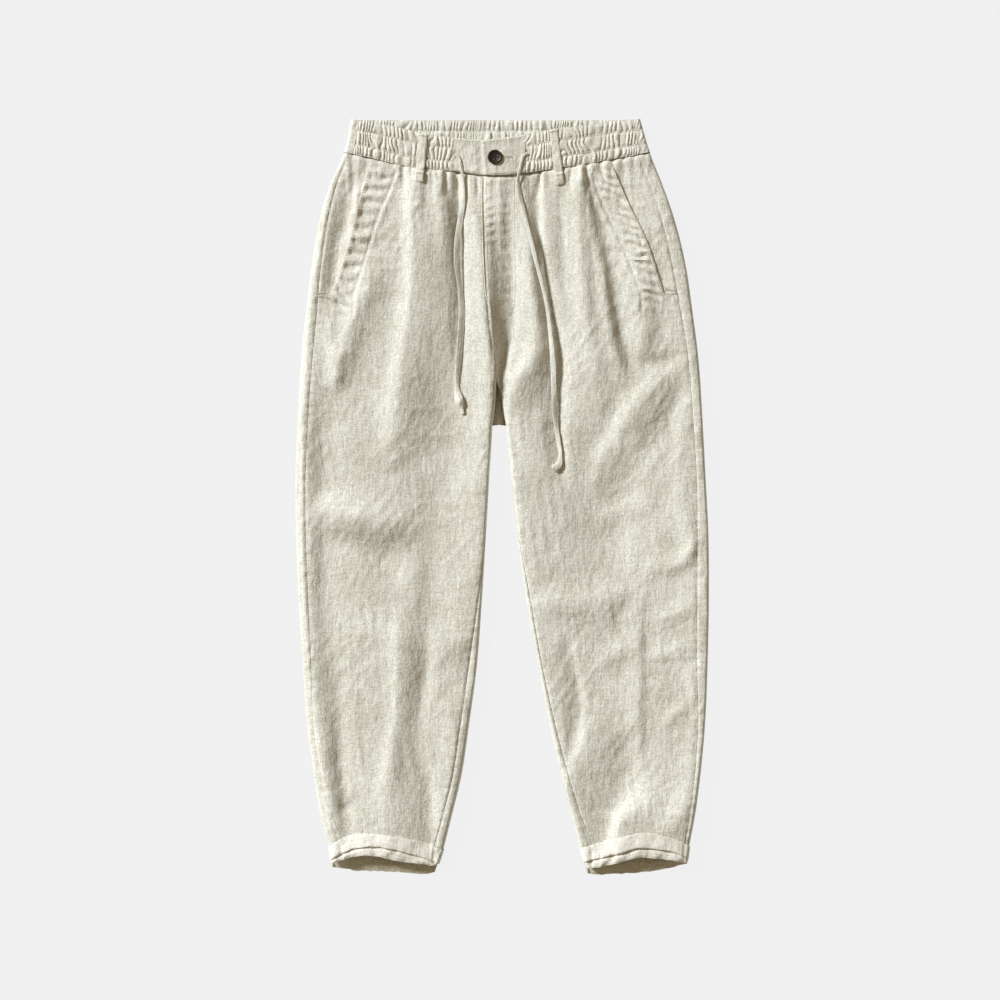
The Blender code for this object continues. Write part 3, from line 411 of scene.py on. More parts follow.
OUTLINE_CURVES = table_curves(OUTLINE)
full_middle, full_edge = table_curves(FULLNESS)
centre_front = table_curves(CENTRE_FRONT)[0]
waist_top, waist_seam = table_curves(WAIST_FRONT)
pocket_mouth = dict(zip(SIDE_SIGN, table_curves(POCKET_MOUTH)))
HEM_CURVES = {side: table_curves(HEMS[side]) for side in SIDE_SIGN}


def outline(side, column, drop):
    """A column of the OUTLINE table for one leg."""
    return OUTLINE_CURVES[column + (4 if side == "left" else 0)](drop)


print("thigh width:", round(float(outline("left", OUTER, 383) - outline("left", INNER, 383))), "mm")

# %% [markdown]
# ## Folds
# A laid-out leg is a low dome with soft folds in it. Each fold is given as a line of stations with its
# widths to either side and its rise, which is negative for a trough. A bell curve across the line makes a
# soft ridge, and unequal widths give it one steep side. "Left" is seen on the way from station to station.

# %% The folds, each a line of stations
# across, drop, width on its left, width on its right, rise
FOLDS = (
    # right leg's raised inner edge
    ((-1.2, 351.2, 14, 6, 0), (-5, 388.8, 24, 6, 5), (-7.5, 438.8, 28, 6, 6), (-10, 501.2, 34, 6, 6),
     (-13.8, 557.5, 40, 6, 6), (-18.8, 613.8, 42, 6, 5), (-23.8, 651.2, 28, 6, 3.5),
     (-30, 695, 24, 6, 2.8), (-37.5, 751.2, 24, 6, 2.8), (-46.2, 813.8, 24, 6, 2.8),
     (-56.2, 882.5, 22, 6, 2.2)),
    # hollow along the right leg's middle
    ((-66.2, 263.8, 40, 20, 0), (-63.8, 313.8, 40, 26, -2.5), (-62.5, 363.8, 40, 28, -4),
     (-63.8, 413.8, 36, 32, -4), (-72.5, 463.8, 30, 36, -3.5), (-82.5, 526.2, 24, 44, -3.2),
     (-85, 588.8, 20, 44, -3.2), (-80, 632.5, 16, 36, -2.5), (-72.5, 670, 12, 30, 0)),
    # left leg's raised inner edge
    ((2.5, 351.2, 6, 24, 0), (7.5, 382.5, 6, 60, 6), (11.2, 438.8, 6, 80, 8.5), (17.5, 501.2, 6, 84, 9),
     (26.2, 563.8, 6, 80, 8), (38.8, 638.8, 6, 60, 6.5), (53.8, 726.2, 6, 44, 5), (70, 801.2, 6, 26, 3),
     (85, 863.8, 6, 18, 0)),
    # left leg's raised outer edge
    ((187.5, 57.5, 14, 6, 0), (212.5, 101.2, 24, 6, 2.5), (228.8, 163.8, 28, 6, 4),
     (241.2, 238.8, 30, 6, 4.5), (251.2, 313.8, 26, 6, 5), (260, 388.8, 28, 6, 6),
     (263.8, 476.2, 30, 6, 7), (266.2, 576.2, 30, 6, 7), (263.8, 676.2, 28, 6, 6),
     (258.8, 776.2, 26, 6, 5.5), (251.2, 876.2, 24, 6, 5)),
    # roll along the right outseam
    ((-205, 76.2, 5, 18, 1.5), (-208.8, 95, 5, 22, 3.5), (-213.8, 120, 5, 22, 4),
     (-220, 157.5, 5, 20, 3.6), (-226.2, 195, 5, 16, 2.8), (-230, 220, 5, 10, 2.2),
     (-233.8, 251.2, 5, 8, 2.2), (-236.2, 282.5, 5, 14, 3), (-238.8, 320, 5, 20, 4),
     (-242.5, 376.2, 5, 20, 3.6), (-242.5, 426.2, 5, 20, 3.4), (-242.5, 476.2, 5, 20, 3.4),
     (-242.5, 526.2, 5, 20, 3.4), (-241.2, 570, 5, 18, 3), (-238.8, 613.8, 5, 18, 2.6),
     (-235, 663.8, 6, 24, 2.8), (-230, 713.8, 6, 28, 3.8), (-223.8, 763.8, 6, 28, 5),
     (-217.5, 813.8, 6, 27, 5.2), (-210, 851.2, 6, 24, 4.5), (-203.8, 886.2, 6, 18, 2.5),
     (-200, 907.5, 6, 12, 0)),
    # right front's long ridge
    ((-106.2, 48.8, 9, 24, 3.5), (-106.2, 70, 9, 30, 6.5), (-106.2, 113.8, 9, 40, 7.5),
     (-105, 163.8, 10, 44, 7.5), (-105, 207.5, 11, 44, 8), (-110, 251.2, 13, 44, 8.5),
     (-115, 288.8, 14, 42, 8.5), (-121.2, 326.2, 15, 40, 8.5), (-125, 363.8, 17, 36, 8),
     (-126.2, 388.8, 17, 32, 6.5), (-132.5, 416.2, 15, 24, 3.5), (-137.5, 445, 12, 14, 0)),
    # second ridge beside it
    ((-76.2, 51.2, 7, 12, 2.5), (-73.8, 88.8, 8, 14, 4), (-70, 126.2, 9, 13, 4),
     (-66.2, 157.5, 12, 12, 3), (-62.5, 195, 14, 12, 0)),
    # deep valley by the drawstring
    ((-53.8, 51.2, 8, 7, -2), (-51.2, 88.8, 8, 7, -4), (-47.5, 120, 9, 7, -5),
     (-46.2, 163.8, 10, 7, -5.5), (-45, 213.8, 10, 7, -5.5), (-46.2, 257.5, 10, 7, -4.5),
     (-46.2, 291.2, 10, 8, -2.5), (-46.2, 326.2, 12, 10, -1.5), (-42.5, 363.8, 12, 10, 0)),
    # ridge down the inner thigh
    ((-31.2, 101.2, 7, 12, 0), (-23.8, 138.8, 11, 12, 4.86), (-18.8, 176.2, 13, 12, 7.02),
     (-15, 226.2, 15, 10, 8.64), (-10, 263.8, 17, 7, 10.26), (-6.2, 295, 18, 6, 11.34),
     (-5, 326.2, 19, 6, 11.34), (-6.2, 357.5, 19, 6, 9.72), (-8.8, 388.8, 20, 8, 4.8),
     (-11.2, 413.8, 16, 8, 0)),
    # trough above the right hem's corner
    ((-202.5, 651.2, 10, 10, 0), (-198.8, 701.2, 10, 9, -1.5), (-196.2, 751.2, 10, 9, -2.2),
     (-196.2, 801.2, 10, 9, -2.5), (-193.8, 838.8, 10, 9, -3), (-188.8, 870, 12, 10, -3.5),
     (-187.5, 903.8, 10, 10, -2)),
    # fold from the right pocket's end
    ((-157.5, 163.8, 12, 14, 0), (-158.8, 191.2, 13, 16, 4), (-162.5, 213.8, 13, 18, 5.5),
     (-171.2, 232.5, 13, 18, 6), (-180, 253.8, 12, 18, 6), (-187.5, 276.2, 11, 17, 6),
     (-193.8, 298.8, 10, 16, 5.5), (-198.8, 321.2, 10, 16, 4), (-206.2, 346.2, 10, 12, 0)),
    # short fold in the right pocket
    ((-173.8, 83.8, 6, 5, 0), (-176.2, 101.2, 7, 5, 2.5), (-180, 121.2, 8, 6, 3),
     (-185, 141.2, 8, 6, 0)),
    # fold under the right pocket's mouth
    ((-155, 136.2, 8, 8, 0), (-162.5, 146.2, 9, 8, 2.2), (-182.5, 152.5, 9, 8, 2.4),
     (-197.5, 155, 8, 8, 0)),
    # hollow beside the right pocket
    ((-210, 248.8, 8, 8, 0), (-207.5, 270, 10, 8, 2.5), (-202.5, 295, 12, 8, 3.5),
     (-200, 320, 12, 8, 3), (-203.8, 345, 10, 8, 0)),
    # fold across the right knee
    ((-230, 478.8, 14, 14, 0), (-215, 486.2, 22, 16, 6), (-195, 492.5, 24, 20, 9.5),
     (-172.5, 498.8, 25, 20, 11), (-150, 505, 25, 20, 10), (-132.5, 512.5, 23, 20, 7),
     (-120, 522.5, 20, 18, 3), (-110, 533.8, 16, 14, 0)),
    # hollow under the right knee's fold
    ((-210, 513.8, 10, 8, 0), (-191.2, 526.2, 10, 20, -3.5), (-170, 537.5, 10, 22, -5.5),
     (-145, 553.8, 11, 24, -6), (-127.5, 567.5, 13, 22, -4), (-112.5, 578.8, 14, 14, 0)),
    # slanting fold under the right knee
    ((-91.2, 532.5, 12, 12, 0), (-97.5, 563.8, 12, 14, 1.5), (-102.5, 595, 12, 14, 1.5),
     (-107.5, 626.2, 12, 12, 0)),
    # roll under the right knee
    ((-191.2, 626.2, 14, 14, 0), (-160, 638.8, 16, 18, 2), (-128.8, 647.5, 20, 24, 3),
     (-97.5, 653.8, 22, 24, 3), (-66.2, 655, 22, 26, 3.5), (-45, 652.5, 22, 28, 3),
     (-25, 643.8, 16, 20, 0)),
    # long fold down the right shin
    ((-120, 601.2, 10, 10, 0), (-122.5, 645, 11, 16, 4), (-123.8, 682.5, 10, 20, 5),
     (-123.8, 720, 10, 18, 5), (-126.2, 751.2, 9, 14, 4), (-131.2, 782.5, 9, 14, 4),
     (-133.8, 803.8, 11, 16, 5), (-138.8, 828.8, 12, 22, 5), (-137.5, 857.5, 16, 26, 4.5),
     (-130, 895, 22, 22, 2.5)),
    # trough beside it
    ((-88.8, 623.8, 10, 9, 0), (-88.8, 657.5, 12, 9, -3), (-88.8, 691.2, 12, 9, -3.5),
     (-93.8, 726.2, 10, 9, -2.5), (-98.8, 757.5, 10, 10, -1.5), (-100, 788.8, 10, 10, -2),
     (-88.8, 820, 16, 10, -3.5), (-83.8, 851.2, 16, 9, -4.5), (-83.8, 898.8, 16, 9, -4)),
    # ridge by the right inseam
    ((-62.5, 713.8, 14, 12, 0), (-60, 751.2, 14, 14, 2), (-60, 801.2, 14, 14, 2),
     (-60, 851.2, 14, 12, 1.5), (-66.2, 888.8, 14, 12, 1)),
    # dent by the right inseam
    ((-40, 648.8, 12, 8, 0), (-36.2, 666.2, 12, 8, -3), (-37.5, 691.2, 12, 8, -2.5),
     (-41.2, 720, 10, 8, 0)),
    # arch above the right hem
    ((-165, 846.2, 8, 10, 0), (-180, 855, 8, 9, -2.5), (-191.2, 861.2, 8, 9, -2.5),
     (-200, 870, 8, 8, 0)),
    # hollow at the fly
    ((7.5, 82.5, 12, 10, 0), (13.8, 132.5, 16, 7, -3.5), (17.5, 188.8, 18, 7, -6),
     (17.5, 238.8, 16, 8, -7), (13.8, 278.8, 13, 8, -6.5), (6.2, 301.2, 7, 6, -5),
     (0.6, 322.5, 4, 4, -4), (0, 348.8, 4, 4, -4), (0.6, 386.2, 5, 5, -3)),
    # edge of the fly's strip
    ((2.5, 66.2, 9, 6, 1.2), (3.8, 107.5, 10, 6, 2), (3.8, 145, 10, 6, 1.5), (2.5, 170, 8, 6, 0)),
    # curved ridge beside the fly
    ((35, 107.5, 8, 8, 0), (38.8, 145, 8, 8, 4.5), (41.2, 186.2, 9, 10, 6), (45, 226.2, 11, 13, 7),
     (48.8, 257.5, 13, 14, 7.5), (50, 285, 15, 17, 8), (40, 307.5, 14, 23, 9), (26.2, 326.2, 12, 28, 9),
     (18.8, 347.5, 10, 28, 7), (12.5, 372.5, 8, 20, 1)),
    # valley under the left string
    ((47.5, 51.2, 10, 6, -3), (48.8, 101.2, 10, 6, -5.5), (50, 145, 10, 6, -5.5),
     (55, 188.8, 12, 7, -5), (63.8, 228.8, 14, 8, -5), (68.8, 257.5, 14, 9, -5),
     (75, 288.8, 14, 10, -5), (77.5, 323.8, 16, 10, -5), (77.5, 357.5, 16, 10, -5),
     (73.8, 388.8, 15, 9, -6), (77.5, 420, 14, 9, -6), (78.8, 445, 13, 9, -3), (78.8, 466.2, 12, 10, 0)),
    # small valley on the left thigh
    ((72.5, 91.2, 10, 5, 0), (77.5, 120, 10, 5, -2), (81.2, 151.2, 10, 5, -2.4),
     (82.5, 188.8, 10, 6, -1.8), (81.2, 226.2, 10, 8, 0)),
    # left front's long ridge
    ((101.2, 46.2, 8, 8, 2), (102.5, 70, 10, 8, 5), (100, 95, 12, 10, 5), (101.2, 126.2, 10, 14, 5.5),
     (103.8, 176.2, 11, 16, 6), (107.5, 226.2, 13, 16, 6), (113.8, 263.8, 18, 16, 5.5),
     (121.2, 303.8, 24, 16, 4.5), (125, 338.8, 24, 16, 3.5), (125, 376.2, 20, 16, 2.5),
     (125, 407.5, 16, 14, 0)),
    # slanting step beside it
    ((106.2, 58.8, 8, 9, 1), (111.2, 101.2, 8, 9, 2), (118.8, 138.8, 9, 9, 2.4),
     (127.5, 170, 10, 9, 3.5), (133.8, 213.8, 12, 9, 5), (140, 257.5, 12, 9, 5.5),
     (146.2, 291.2, 12, 10, 4.5), (153.8, 318.8, 12, 12, 2.5), (157.5, 341.2, 10, 10, 0)),
    # trough beside the step
    ((112.5, 70, 6, 12, 0), (122.5, 111.2, 6, 14, -2.2), (131.2, 151.2, 7, 16, -2.6),
     (140, 188.8, 8, 16, -3.2), (145, 232.5, 8, 16, -4), (152.5, 270, 9, 16, -4.5),
     (163.8, 303.8, 10, 12, -2.5), (171.2, 328.8, 8, 8, 0)),
    # ridge under the left pocket
    ((177.5, 88.8, 20, 20, 0), (181.2, 132.5, 22, 20, 3), (181.2, 182.5, 24, 20, 4),
     (181.2, 238.8, 22, 18, 4.5), (181.2, 270, 20, 14, 5), (180, 288.8, 14, 12, 3.5),
     (177.5, 303.8, 10, 10, 0)),
    # shade over the slanting ridge
    ((172.5, 291.2, 8, 10, 0), (187.5, 303.8, 10, 9, -2.5), (205, 306.2, 10, 9, -3),
     (220, 298.8, 10, 9, -2), (232.5, 288.8, 8, 8, 0)),
    # slanting ridge on the left thigh
    ((217.5, 313.8, 8, 12, 0), (200, 331.2, 16, 24, 4.5), (182.5, 348.8, 16, 30, 6),
     (166.2, 368.8, 14, 32, 6), (150, 393.8, 13, 32, 6), (135, 420, 13, 30, 5.5),
     (125, 448.8, 12, 26, 4), (117.5, 476.2, 10, 18, 0)),
    # trough below it
    ((232.5, 308.8, 12, 12, 0), (225, 345, 16, 14, -2.5), (212.5, 376.2, 18, 14, -2.5),
     (195, 403.8, 18, 14, -2), (175, 432.5, 16, 14, -1.5), (155, 466.2, 14, 12, 0)),
    # roll along the left outseam
    ((232.5, 351.2, 8, 8, 0), (231.2, 388.8, 10, 8, 1.5), (228.8, 420, 12, 8, 1.8),
     (230, 476.2, 12, 9, 2), (237.5, 513.8, 14, 8, 3), (240, 536.2, 14, 8, 1.5)),
    # fold above the left knee
    ((197.5, 475, 10, 12, 0), (183.8, 483.8, 14, 14, 2), (158.8, 488.8, 12, 14, 2.5),
     (137.5, 496.2, 12, 12, 1.8), (120, 507.5, 10, 10, 0)),
    # crease behind the left knee
    ((248.8, 513.8, 8, 8, 0), (240, 540, 10, 8, 3.5), (228.8, 555, 12, 10, 4),
     (208.8, 560, 12, 10, 3.5), (192.5, 561.2, 12, 10, 2), (175, 567.5, 10, 10, 0)),
    # fold across the left knee
    ((165, 583.8, 10, 12, 0), (142.5, 597.5, 14, 18, 3.5), (122.5, 606.2, 18, 22, 5),
     (96.2, 606.2, 18, 20, 5), (71.2, 605, 16, 18, 4.5), (50, 606.2, 10, 14, 3), (35, 608.8, 8, 8, 0)),
    # small fold under it
    ((247.5, 610, 10, 10, 0), (230, 615, 10, 12, 3), (208.8, 621.2, 10, 12, 3), (190, 630, 8, 8, 0)),
    # second small fold
    ((245, 658.8, 10, 10, 0), (221.2, 665, 10, 13, 3), (196.2, 668.8, 10, 12, 2.5), (180, 675, 8, 8, 0)),
    # third small fold
    ((235, 728.8, 8, 8, 0), (222.5, 740, 9, 9, 3), (210, 751.2, 8, 8, 1.5), (201.2, 762.5, 8, 8, 0)),
    # pressed line down the left shin
    ((177.5, 576.2, 10, 7, 0), (176.2, 626.2, 12, 7, 1.8), (176.2, 663.8, 12, 7, 2.2),
     (175, 713.8, 12, 8, 2.4), (175, 763.8, 12, 7, 2.2), (177.5, 807.5, 10, 8, 1.5),
     (180, 845, 8, 8, 0)),
    # valley by the left inseam
    ((85, 632.5, 8, 8, 0), (90, 670, 12, 7, -2.5), (101.2, 713.8, 12, 6, -3.5), (101.2, 745, 12, 6, -3),
     (98.8, 770, 12, 6, -2.5), (90, 795, 10, 8, -1.5), (85, 823.8, 8, 8, 0)),
    # fold into the left hem
    ((130, 726.2, 14, 14, 0), (122.5, 757.5, 14, 18, 2), (110, 782.5, 14, 22, 3),
     (95, 807.5, 12, 26, 3.5), (85, 832.5, 9, 28, 4), (78.8, 857.5, 7, 26, 4), (81.2, 882.5, 7, 22, 4),
     (86.2, 903.8, 7, 20, 3)),
    # wedge of shade beside it
    ((158.8, 761.2, 10, 26, 0), (160, 788.8, 22, 30, -5), (161.2, 820, 30, 25, -8),
     (155, 845, 30, 17, -8.2), (141.2, 867.5, 26, 9, -8), (132.5, 903.8, 20, 9, -5)),
    # ridge over the left hem
    ((162.5, 841.2, 10, 18, 0), (157.5, 858.8, 10, 18, 2.5), (152.5, 876.2, 10, 20, 3),
     (147.5, 903.8, 10, 20, 2.5)),
    # fold over the left hem's corner
    ((240, 813.8, 8, 8, 0), (236.2, 851.2, 12, 9, 3), (223.8, 871.2, 14, 12, 3.5),
     (211.2, 886.2, 12, 14, 2), (196.2, 898.8, 10, 10, 0)),
    # shade on the right hip
    ((-180, 66.2, 14, 5, 0), (-182.5, 88.8, 16, 5, -4), (-183.8, 113.8, 16, 5, -4.5),
     (-191.2, 136.2, 13, 6, -4), (-200, 157.5, 11, 8, -3.5), (-202.5, 188.8, 10, 5, -3),
     (-205, 226.2, 9, 5, 0)),
    # fall of the left thigh
    ((131.2, 351.2, 30, 22, 0), (138.8, 401.2, 45, 28, -5), (143.8, 463.8, 50, 32, -7),
     (143.8, 526.2, 50, 32, -6), (141.2, 588.8, 40, 25, 0)),
    # shade beside the right outseam
    ((-216.2, 326.2, 12, 22, 0), (-220, 388.8, 12, 25, -3), (-217.5, 476.2, 12, 25, -3),
     (-215, 601.2, 12, 25, -3), (-206.2, 726.2, 12, 25, -3), (-192.5, 826.2, 12, 25, -3),
     (-182.5, 888.8, 10, 20, 0)),
    # slanting fold on the left shin
    ((182.5, 646.2, 10, 10, 0), (155, 666.2, 12, 12, 2.5), (132.5, 678.8, 12, 12, 2),
     (117.5, 690, 10, 10, 0)),
)
# The pleats under the band are alike: across and drop at the band, halfway and at the end, width, depth.
PLEATS = (
    (-118.8, 65, -117.5, 76.2, -117.5, 93.8, 3.5, 4),
    (-65, 68.8, -63.8, 83.8, -61.2, 106.2, 3.5, 4.5),
    (-51.2, 68.8, -50, 83.8, -48.8, 101.2, 3, 3.5),
    (-40, 73.8, -38.8, 88.8, -38.8, 108.8, 3, 3),
    (-26.2, 76.2, -25, 88.8, -25, 101.2, 3, 3),
    (36.2, 66.2, 37.5, 78.8, 40, 96.2, 3.5, 3.5),
    (53.8, 66.2, 52.5, 81.2, 48.8, 101.2, 3.5, 4),
    (91.2, 63.8, 90, 78.8, 88.8, 96.2, 3, 3),
    (100, 61.2, 98.8, 71.2, 97.5, 83.8, 2.5, 2.5),
    (110, 61.2, 112.5, 78.8, 116.2, 101.2, 3.5, 4),
    (-82.5, 66.2, -81.2, 78.8, -80, 96.2, 3, 3),
    (127.5, 58.8, 131.2, 71.2, 135, 86.2, 3, 3),
)
FOLDS += tuple(
    ((x, d, w, w, -deep), (x_mid, d_mid, w, w, -0.8 * deep), (x_end, d_end, w + 1.5, w + 1.5, 0))
    for x, d, x_mid, d_mid, x_end, d_end, w, deep in PLEATS
)
print("folds:", len(FOLDS), "stations:", sum(map(len, FOLDS)))


FOLD_REACH = 2.6  # widths from its line where a fold has died out
WHOLE_DOME, LEG_DOME = 0.28, 0.3  # the lower, the flatter on top and the steeper at the edges


def fold_height(across, drop, stations):
    """What one fold adds at each place: a bell across its line, whose widths and rise change along it."""
    table = np.array(stations, float)
    reach = FOLD_REACH * table[:, 2:4].max()
    low, high = table[:, :2].min(axis=0) - reach, table[:, :2].max(axis=0) + reach
    near = (across > low[0]) & (across < high[0]) & (drop > low[1]) & (drop < high[1])
    added = np.zeros(near.shape)
    if not near.any():
        return added
    x, d = across[near], drop[near]
    best = np.full(x.shape, np.inf)
    value = np.zeros(x.shape)
    for a, b in zip(table, table[1:]):
        run = b[:2] - a[:2]
        long = float(run @ run)
        t = np.clip(((x - a[0]) * run[0] + (d - a[1]) * run[1]) / long, 0, 1)
        off_x, off_d = x - a[0] - t * run[0], d - a[1] - t * run[1]
        away = off_x**2 + off_d**2
        on_left = off_x * run[1] - off_d * run[0] < 0
        wide_left, wide_right, rise = (a[k] + (b[k] - a[k]) * t for k in (2, 3, 4))
        wide = np.where(on_left, wide_left, wide_right)
        closer = away < best
        value = np.where(closer, rise * np.exp(-away / wide**2), value)
        best = np.minimum(best, away)
    added[near] = value
    return added


def base_height(across, drop):
    """Height of the garment's top without its folds: a low dome that splits into one for each leg."""
    right_edge = -outline("right", OUTER, drop)
    left_edge = outline("left", OUTER, drop)
    on_right = across < centre_front(drop)
    outer = np.where(on_right, across - right_edge, left_edge - across)
    parted = np.clip((drop - FORK) / (CROTCH - FORK), 0, 1)
    seam = centre_front(drop)
    edge_right = seam + (-outline("right", INNER, drop) - seam) * parted
    edge_left = seam + (outline("left", INNER, drop) - seam) * parted
    inner = np.where(on_right, edge_right - across, across - edge_left)
    outer, inner = np.maximum(outer, 0), np.maximum(inner, 0)
    leg = 4 * outer * inner / np.maximum(outer + inner, 1) ** 2
    whole = np.clip(4 * (across - right_edge) * (left_edge - across) / (left_edge - right_edge) ** 2, 0, 1)
    apart = ease(drop, LEGS_START, CROTCH)
    dome = (1 - apart) * whole**WHOLE_DOME + apart * leg**LEG_DOME
    return full_edge(drop) + (full_middle(drop) - full_edge(drop)) * dome


# %% [markdown]
# ## Creases
# Washed linen keeps many small creases: short, straight and uneven. The main ones are among the folds above.
# Between them lies a fine crumple, which is smooth noise stretched along a few directions and sharpened to
# ridges. The noise comes from one seeded table of numbers, so every run gives the same cloth.

# %% Smooth seeded noise
LATTICE = np.random.RandomState(41).rand(256, 256)


def soft_noise(x, y):
    """Smooth noise from 0 to 1 that changes over about one unit."""
    column, row = np.floor(x).astype(int), np.floor(y).astype(int)
    u, v = x - column, y - row
    u, v = u * u * (3 - 2 * u), v * v * (3 - 2 * v)
    rows, columns = [row % 256, (row + 1) % 256], [column % 256, (column + 1) % 256]
    (a, b), (c, d) = [[LATTICE[r, k] for k in columns] for r in rows]
    return (a * (1 - u) + b * u) * (1 - v) + (c * (1 - u) + d * u) * v


# direction in degrees from straight down, length and width of a crease in mm, height in mm, offset
CRUMPLES = (
    (6, 70, 15, 0.55, 3.1),
    (-38, 46, 12, 0.5, 17.7),
    (52, 40, 11, 0.5, 31.4),
    (88, 58, 13, 0.45, 47.9),
    (20, 24, 6.5, 0.28, 61.2),
    (-64, 22, 6.0, 0.28, 77.5),
)
WANDER = 9.0  # mm that a crease's line wanders
WANDER_LENGTH = 33.0  # mm over which it does so
RIDGE_SHARE = 0.45  # how much of the noise's range is ridge


def crumple(across, drop):
    """Fine uneven ridges all over the cloth, up to about a millimetre high."""
    warp_x = across + WANDER * soft_noise(across / WANDER_LENGTH + 5, drop / WANDER_LENGTH)
    warp_y = drop + WANDER * soft_noise(across / WANDER_LENGTH, drop / WANDER_LENGTH + 9)
    total = 0 * across
    for turn, long, wide, rise, offset in CRUMPLES:
        angle = math.radians(turn)
        along = (warp_x * math.sin(angle) + warp_y * math.cos(angle)) / long + offset
        aside = (warp_x * math.cos(angle) - warp_y * math.sin(angle)) / wide + offset
        ridge = bell(2 * soft_noise(aside, along) - 1, RIDGE_SHARE)
        patch = ease(soft_noise(aside * wide / 60 + 7, along * long / 60 + offset), 0.35, 0.8)
        total = total + rise * patch * ridge
    return total


# %% [markdown]
# ## Pockets and seams in relief
# The slanted pockets are faced with a strip that is stitched down beside the mouth. Stitching shortens the
# cloth a little, so the strip ripples across its width and sinks along its stitch line. The outseams pucker
# and sink in the same way. All of that is low relief on the fronts: sums of waves and narrow grooves.

# %% Pocket strips and seam puckers
# drop, width of the stitched strip beside the pocket's mouth on the right front, on the left front
POCKET_STRIP = ((46, 37.0, 30.0), (89, 34.0, 33.0), (133, 27.0, 33.0), (186, 27.0, 31.0), (245, 27.0, 27.0))
strip_width = dict(zip(SIDE_SIGN, table_curves(POCKET_STRIP)))
RIPPLE_LENGTH = {"right": 16.0, "left": 12.5}  # mm from ripple to ripple
RIPPLE_LEAN = {"right": -0.3, "left": 0.4}  # mm that they climb for each mm away from the mouth
RIPPLE_RISE = {"right": 2.0, "left": 1.5}
POCKET_REACH = (58, 76, 232, 256)  # drops where the relief begins, is full, fades and ends


def pocket_relief(side, across, drop):
    """Ripples on the stitched strip of one pocket, its rolled edge, and the groove along its stitching."""
    inward = -SIDE_SIGN[side] * (across - pocket_mouth[side](drop))
    width = strip_width[side](drop)
    # soft noise bends the ripples out of line and makes some of them faint
    bent = drop + RIPPLE_LEAN[side] * inward + 11 * soft_noise(across / 17, drop / 19)
    wave = np.sin(2 * math.pi * bent / RIPPLE_LENGTH[side])
    size = 0.35 + 1.1 * soft_noise(across / 14 + 5, drop / 11 + 8)
    ripple = RIPPLE_RISE[side] * span(inward, 0.5, 8.0, width - 10, width + 1) * size * wave
    groove = -1.1 * bell(inward - width, 1.8) + 0.6 * bell(inward - width - 4, 3)
    edge = 0.7 * bell(inward - 2.5, 2.5)
    beside = 1.6 * (soft_noise(across / 9 + 40, drop / 8) - 0.5)
    beside = beside * span(inward, width, width + 4, width + 12, width + 30)
    return span(drop, *POCKET_REACH) * (ripple + groove + edge + beside)


def seam_relief(side, across, drop):
    """The sunken outseam and inseam of one leg, with their puckers."""
    total = 0 * across
    for column, edge, way in ((OUTSEAM, OUTER, 1), (INSEAM, INNER, -1)):
        place = outline(side, edge, drop) - way * outline(side, column, drop)
        beside = way * (place - SIDE_SIGN[side] * across)
        pucker = 0.35 * np.sin(drop / 2.1 + 5 * soft_noise(drop / 21 + edge, 0 * drop)) * bell(beside, 6)
        total = total - 0.9 * bell(beside, 1.8) + pucker * (0.4 + soft_noise(drop / 30 + 2, across / 30))
    return total * ease(drop, 50, 70)


FLY_STRIP = 12.5  # mm from the fly's edge to its inner row of stitches
FLY_RIPPLE = 10.5  # mm from ripple to ripple


def fly_relief(across, drop):
    """The fly's edge strip: ripples between its edge and its row of stitches, both of them sunk."""
    inward = across - centre_front(drop)
    bent = drop + 0.6 * inward + 6 * soft_noise(across / 12, drop / 14 + 3)
    size = 0.2 + 1.2 * soft_noise(across / 6 + 9, drop / 13 + 2)
    on_strip = span(inward, 0.5, 3.0, FLY_STRIP - 3, FLY_STRIP) * (1 - ease(drop, 135, 165))
    ripple = size * on_strip * np.sin(2 * math.pi * bent / FLY_RIPPLE)
    line = -1.2 * bell(inward - FLY_STRIP, 1.5) * (1 - ease(drop, 150, 185))
    edge = -2.0 * bell(inward + 1.0, 2.0) * (1 - ease(drop, 255, 300))
    return (ripple + line + edge) * ease(drop, 52, 66)


# %% The top of the fronts
SEAM_SINK = 3.0  # mm that the waist seam pulls the fronts in
PLEAT_RISE = 2.6
CRUMPLE_SHARE = 1.3
LOWEST = 2 * CLOTH + 1.2  # mm, two layers and the air between them
LANDING = 1.5  # how sharply a valley stops at that


def gather_fall(across, drop):
    """The small pleats that fall from the gathered waist seam and fade down the front."""
    below = drop - waist_seam(across)
    # each pleat wanders as it falls and is as long as the noise across the front says
    phase = across / 4.6 + 2.6 * soft_noise(across / 15 + 3, drop / 120) + below * across / 40000
    pleat = np.abs(np.sin(phase)) ** 0.9 * (0.25 + 1.2 * soft_noise(across / 9, drop / 90 + 4))
    flat_middle = 1 - ease(across, -62, -50) * (1 - ease(across, 30, 40))
    reach = 9 + 40 * soft_noise(across / 8 + 20, 0 * across) ** 2
    return PLEAT_RISE * pleat * flat_middle * np.exp(-np.maximum(below, 0) / reach)


def top_height(across, drop):
    """Height of the fronts' outer face, with its folds and creases, kept clear of the back."""
    below_band = drop - waist_seam(across)
    near_band = 0.5 + 0.5 * ease(below_band, 0, 24)
    folds = sum(fold_height(across, drop, fold) for fold in FOLDS)
    height = base_height(across, drop) + folds * near_band
    height = height + gather_fall(across, drop) + CRUMPLE_SHARE * crumple(across, drop) - 0.5
    height = height + fly_relief(across, drop) - SEAM_SINK * bell(below_band, 2.4)
    for side in SIDE_SIGN:
        on_side = (SIDE_SIGN[side] * (across - centre_front(drop))) > 0
        height = height + on_side * (pocket_relief(side, across, drop) + seam_relief(side, across, drop))
    return LOWEST + np.logaddexp(0, (height - LOWEST) * LANDING) / LANDING


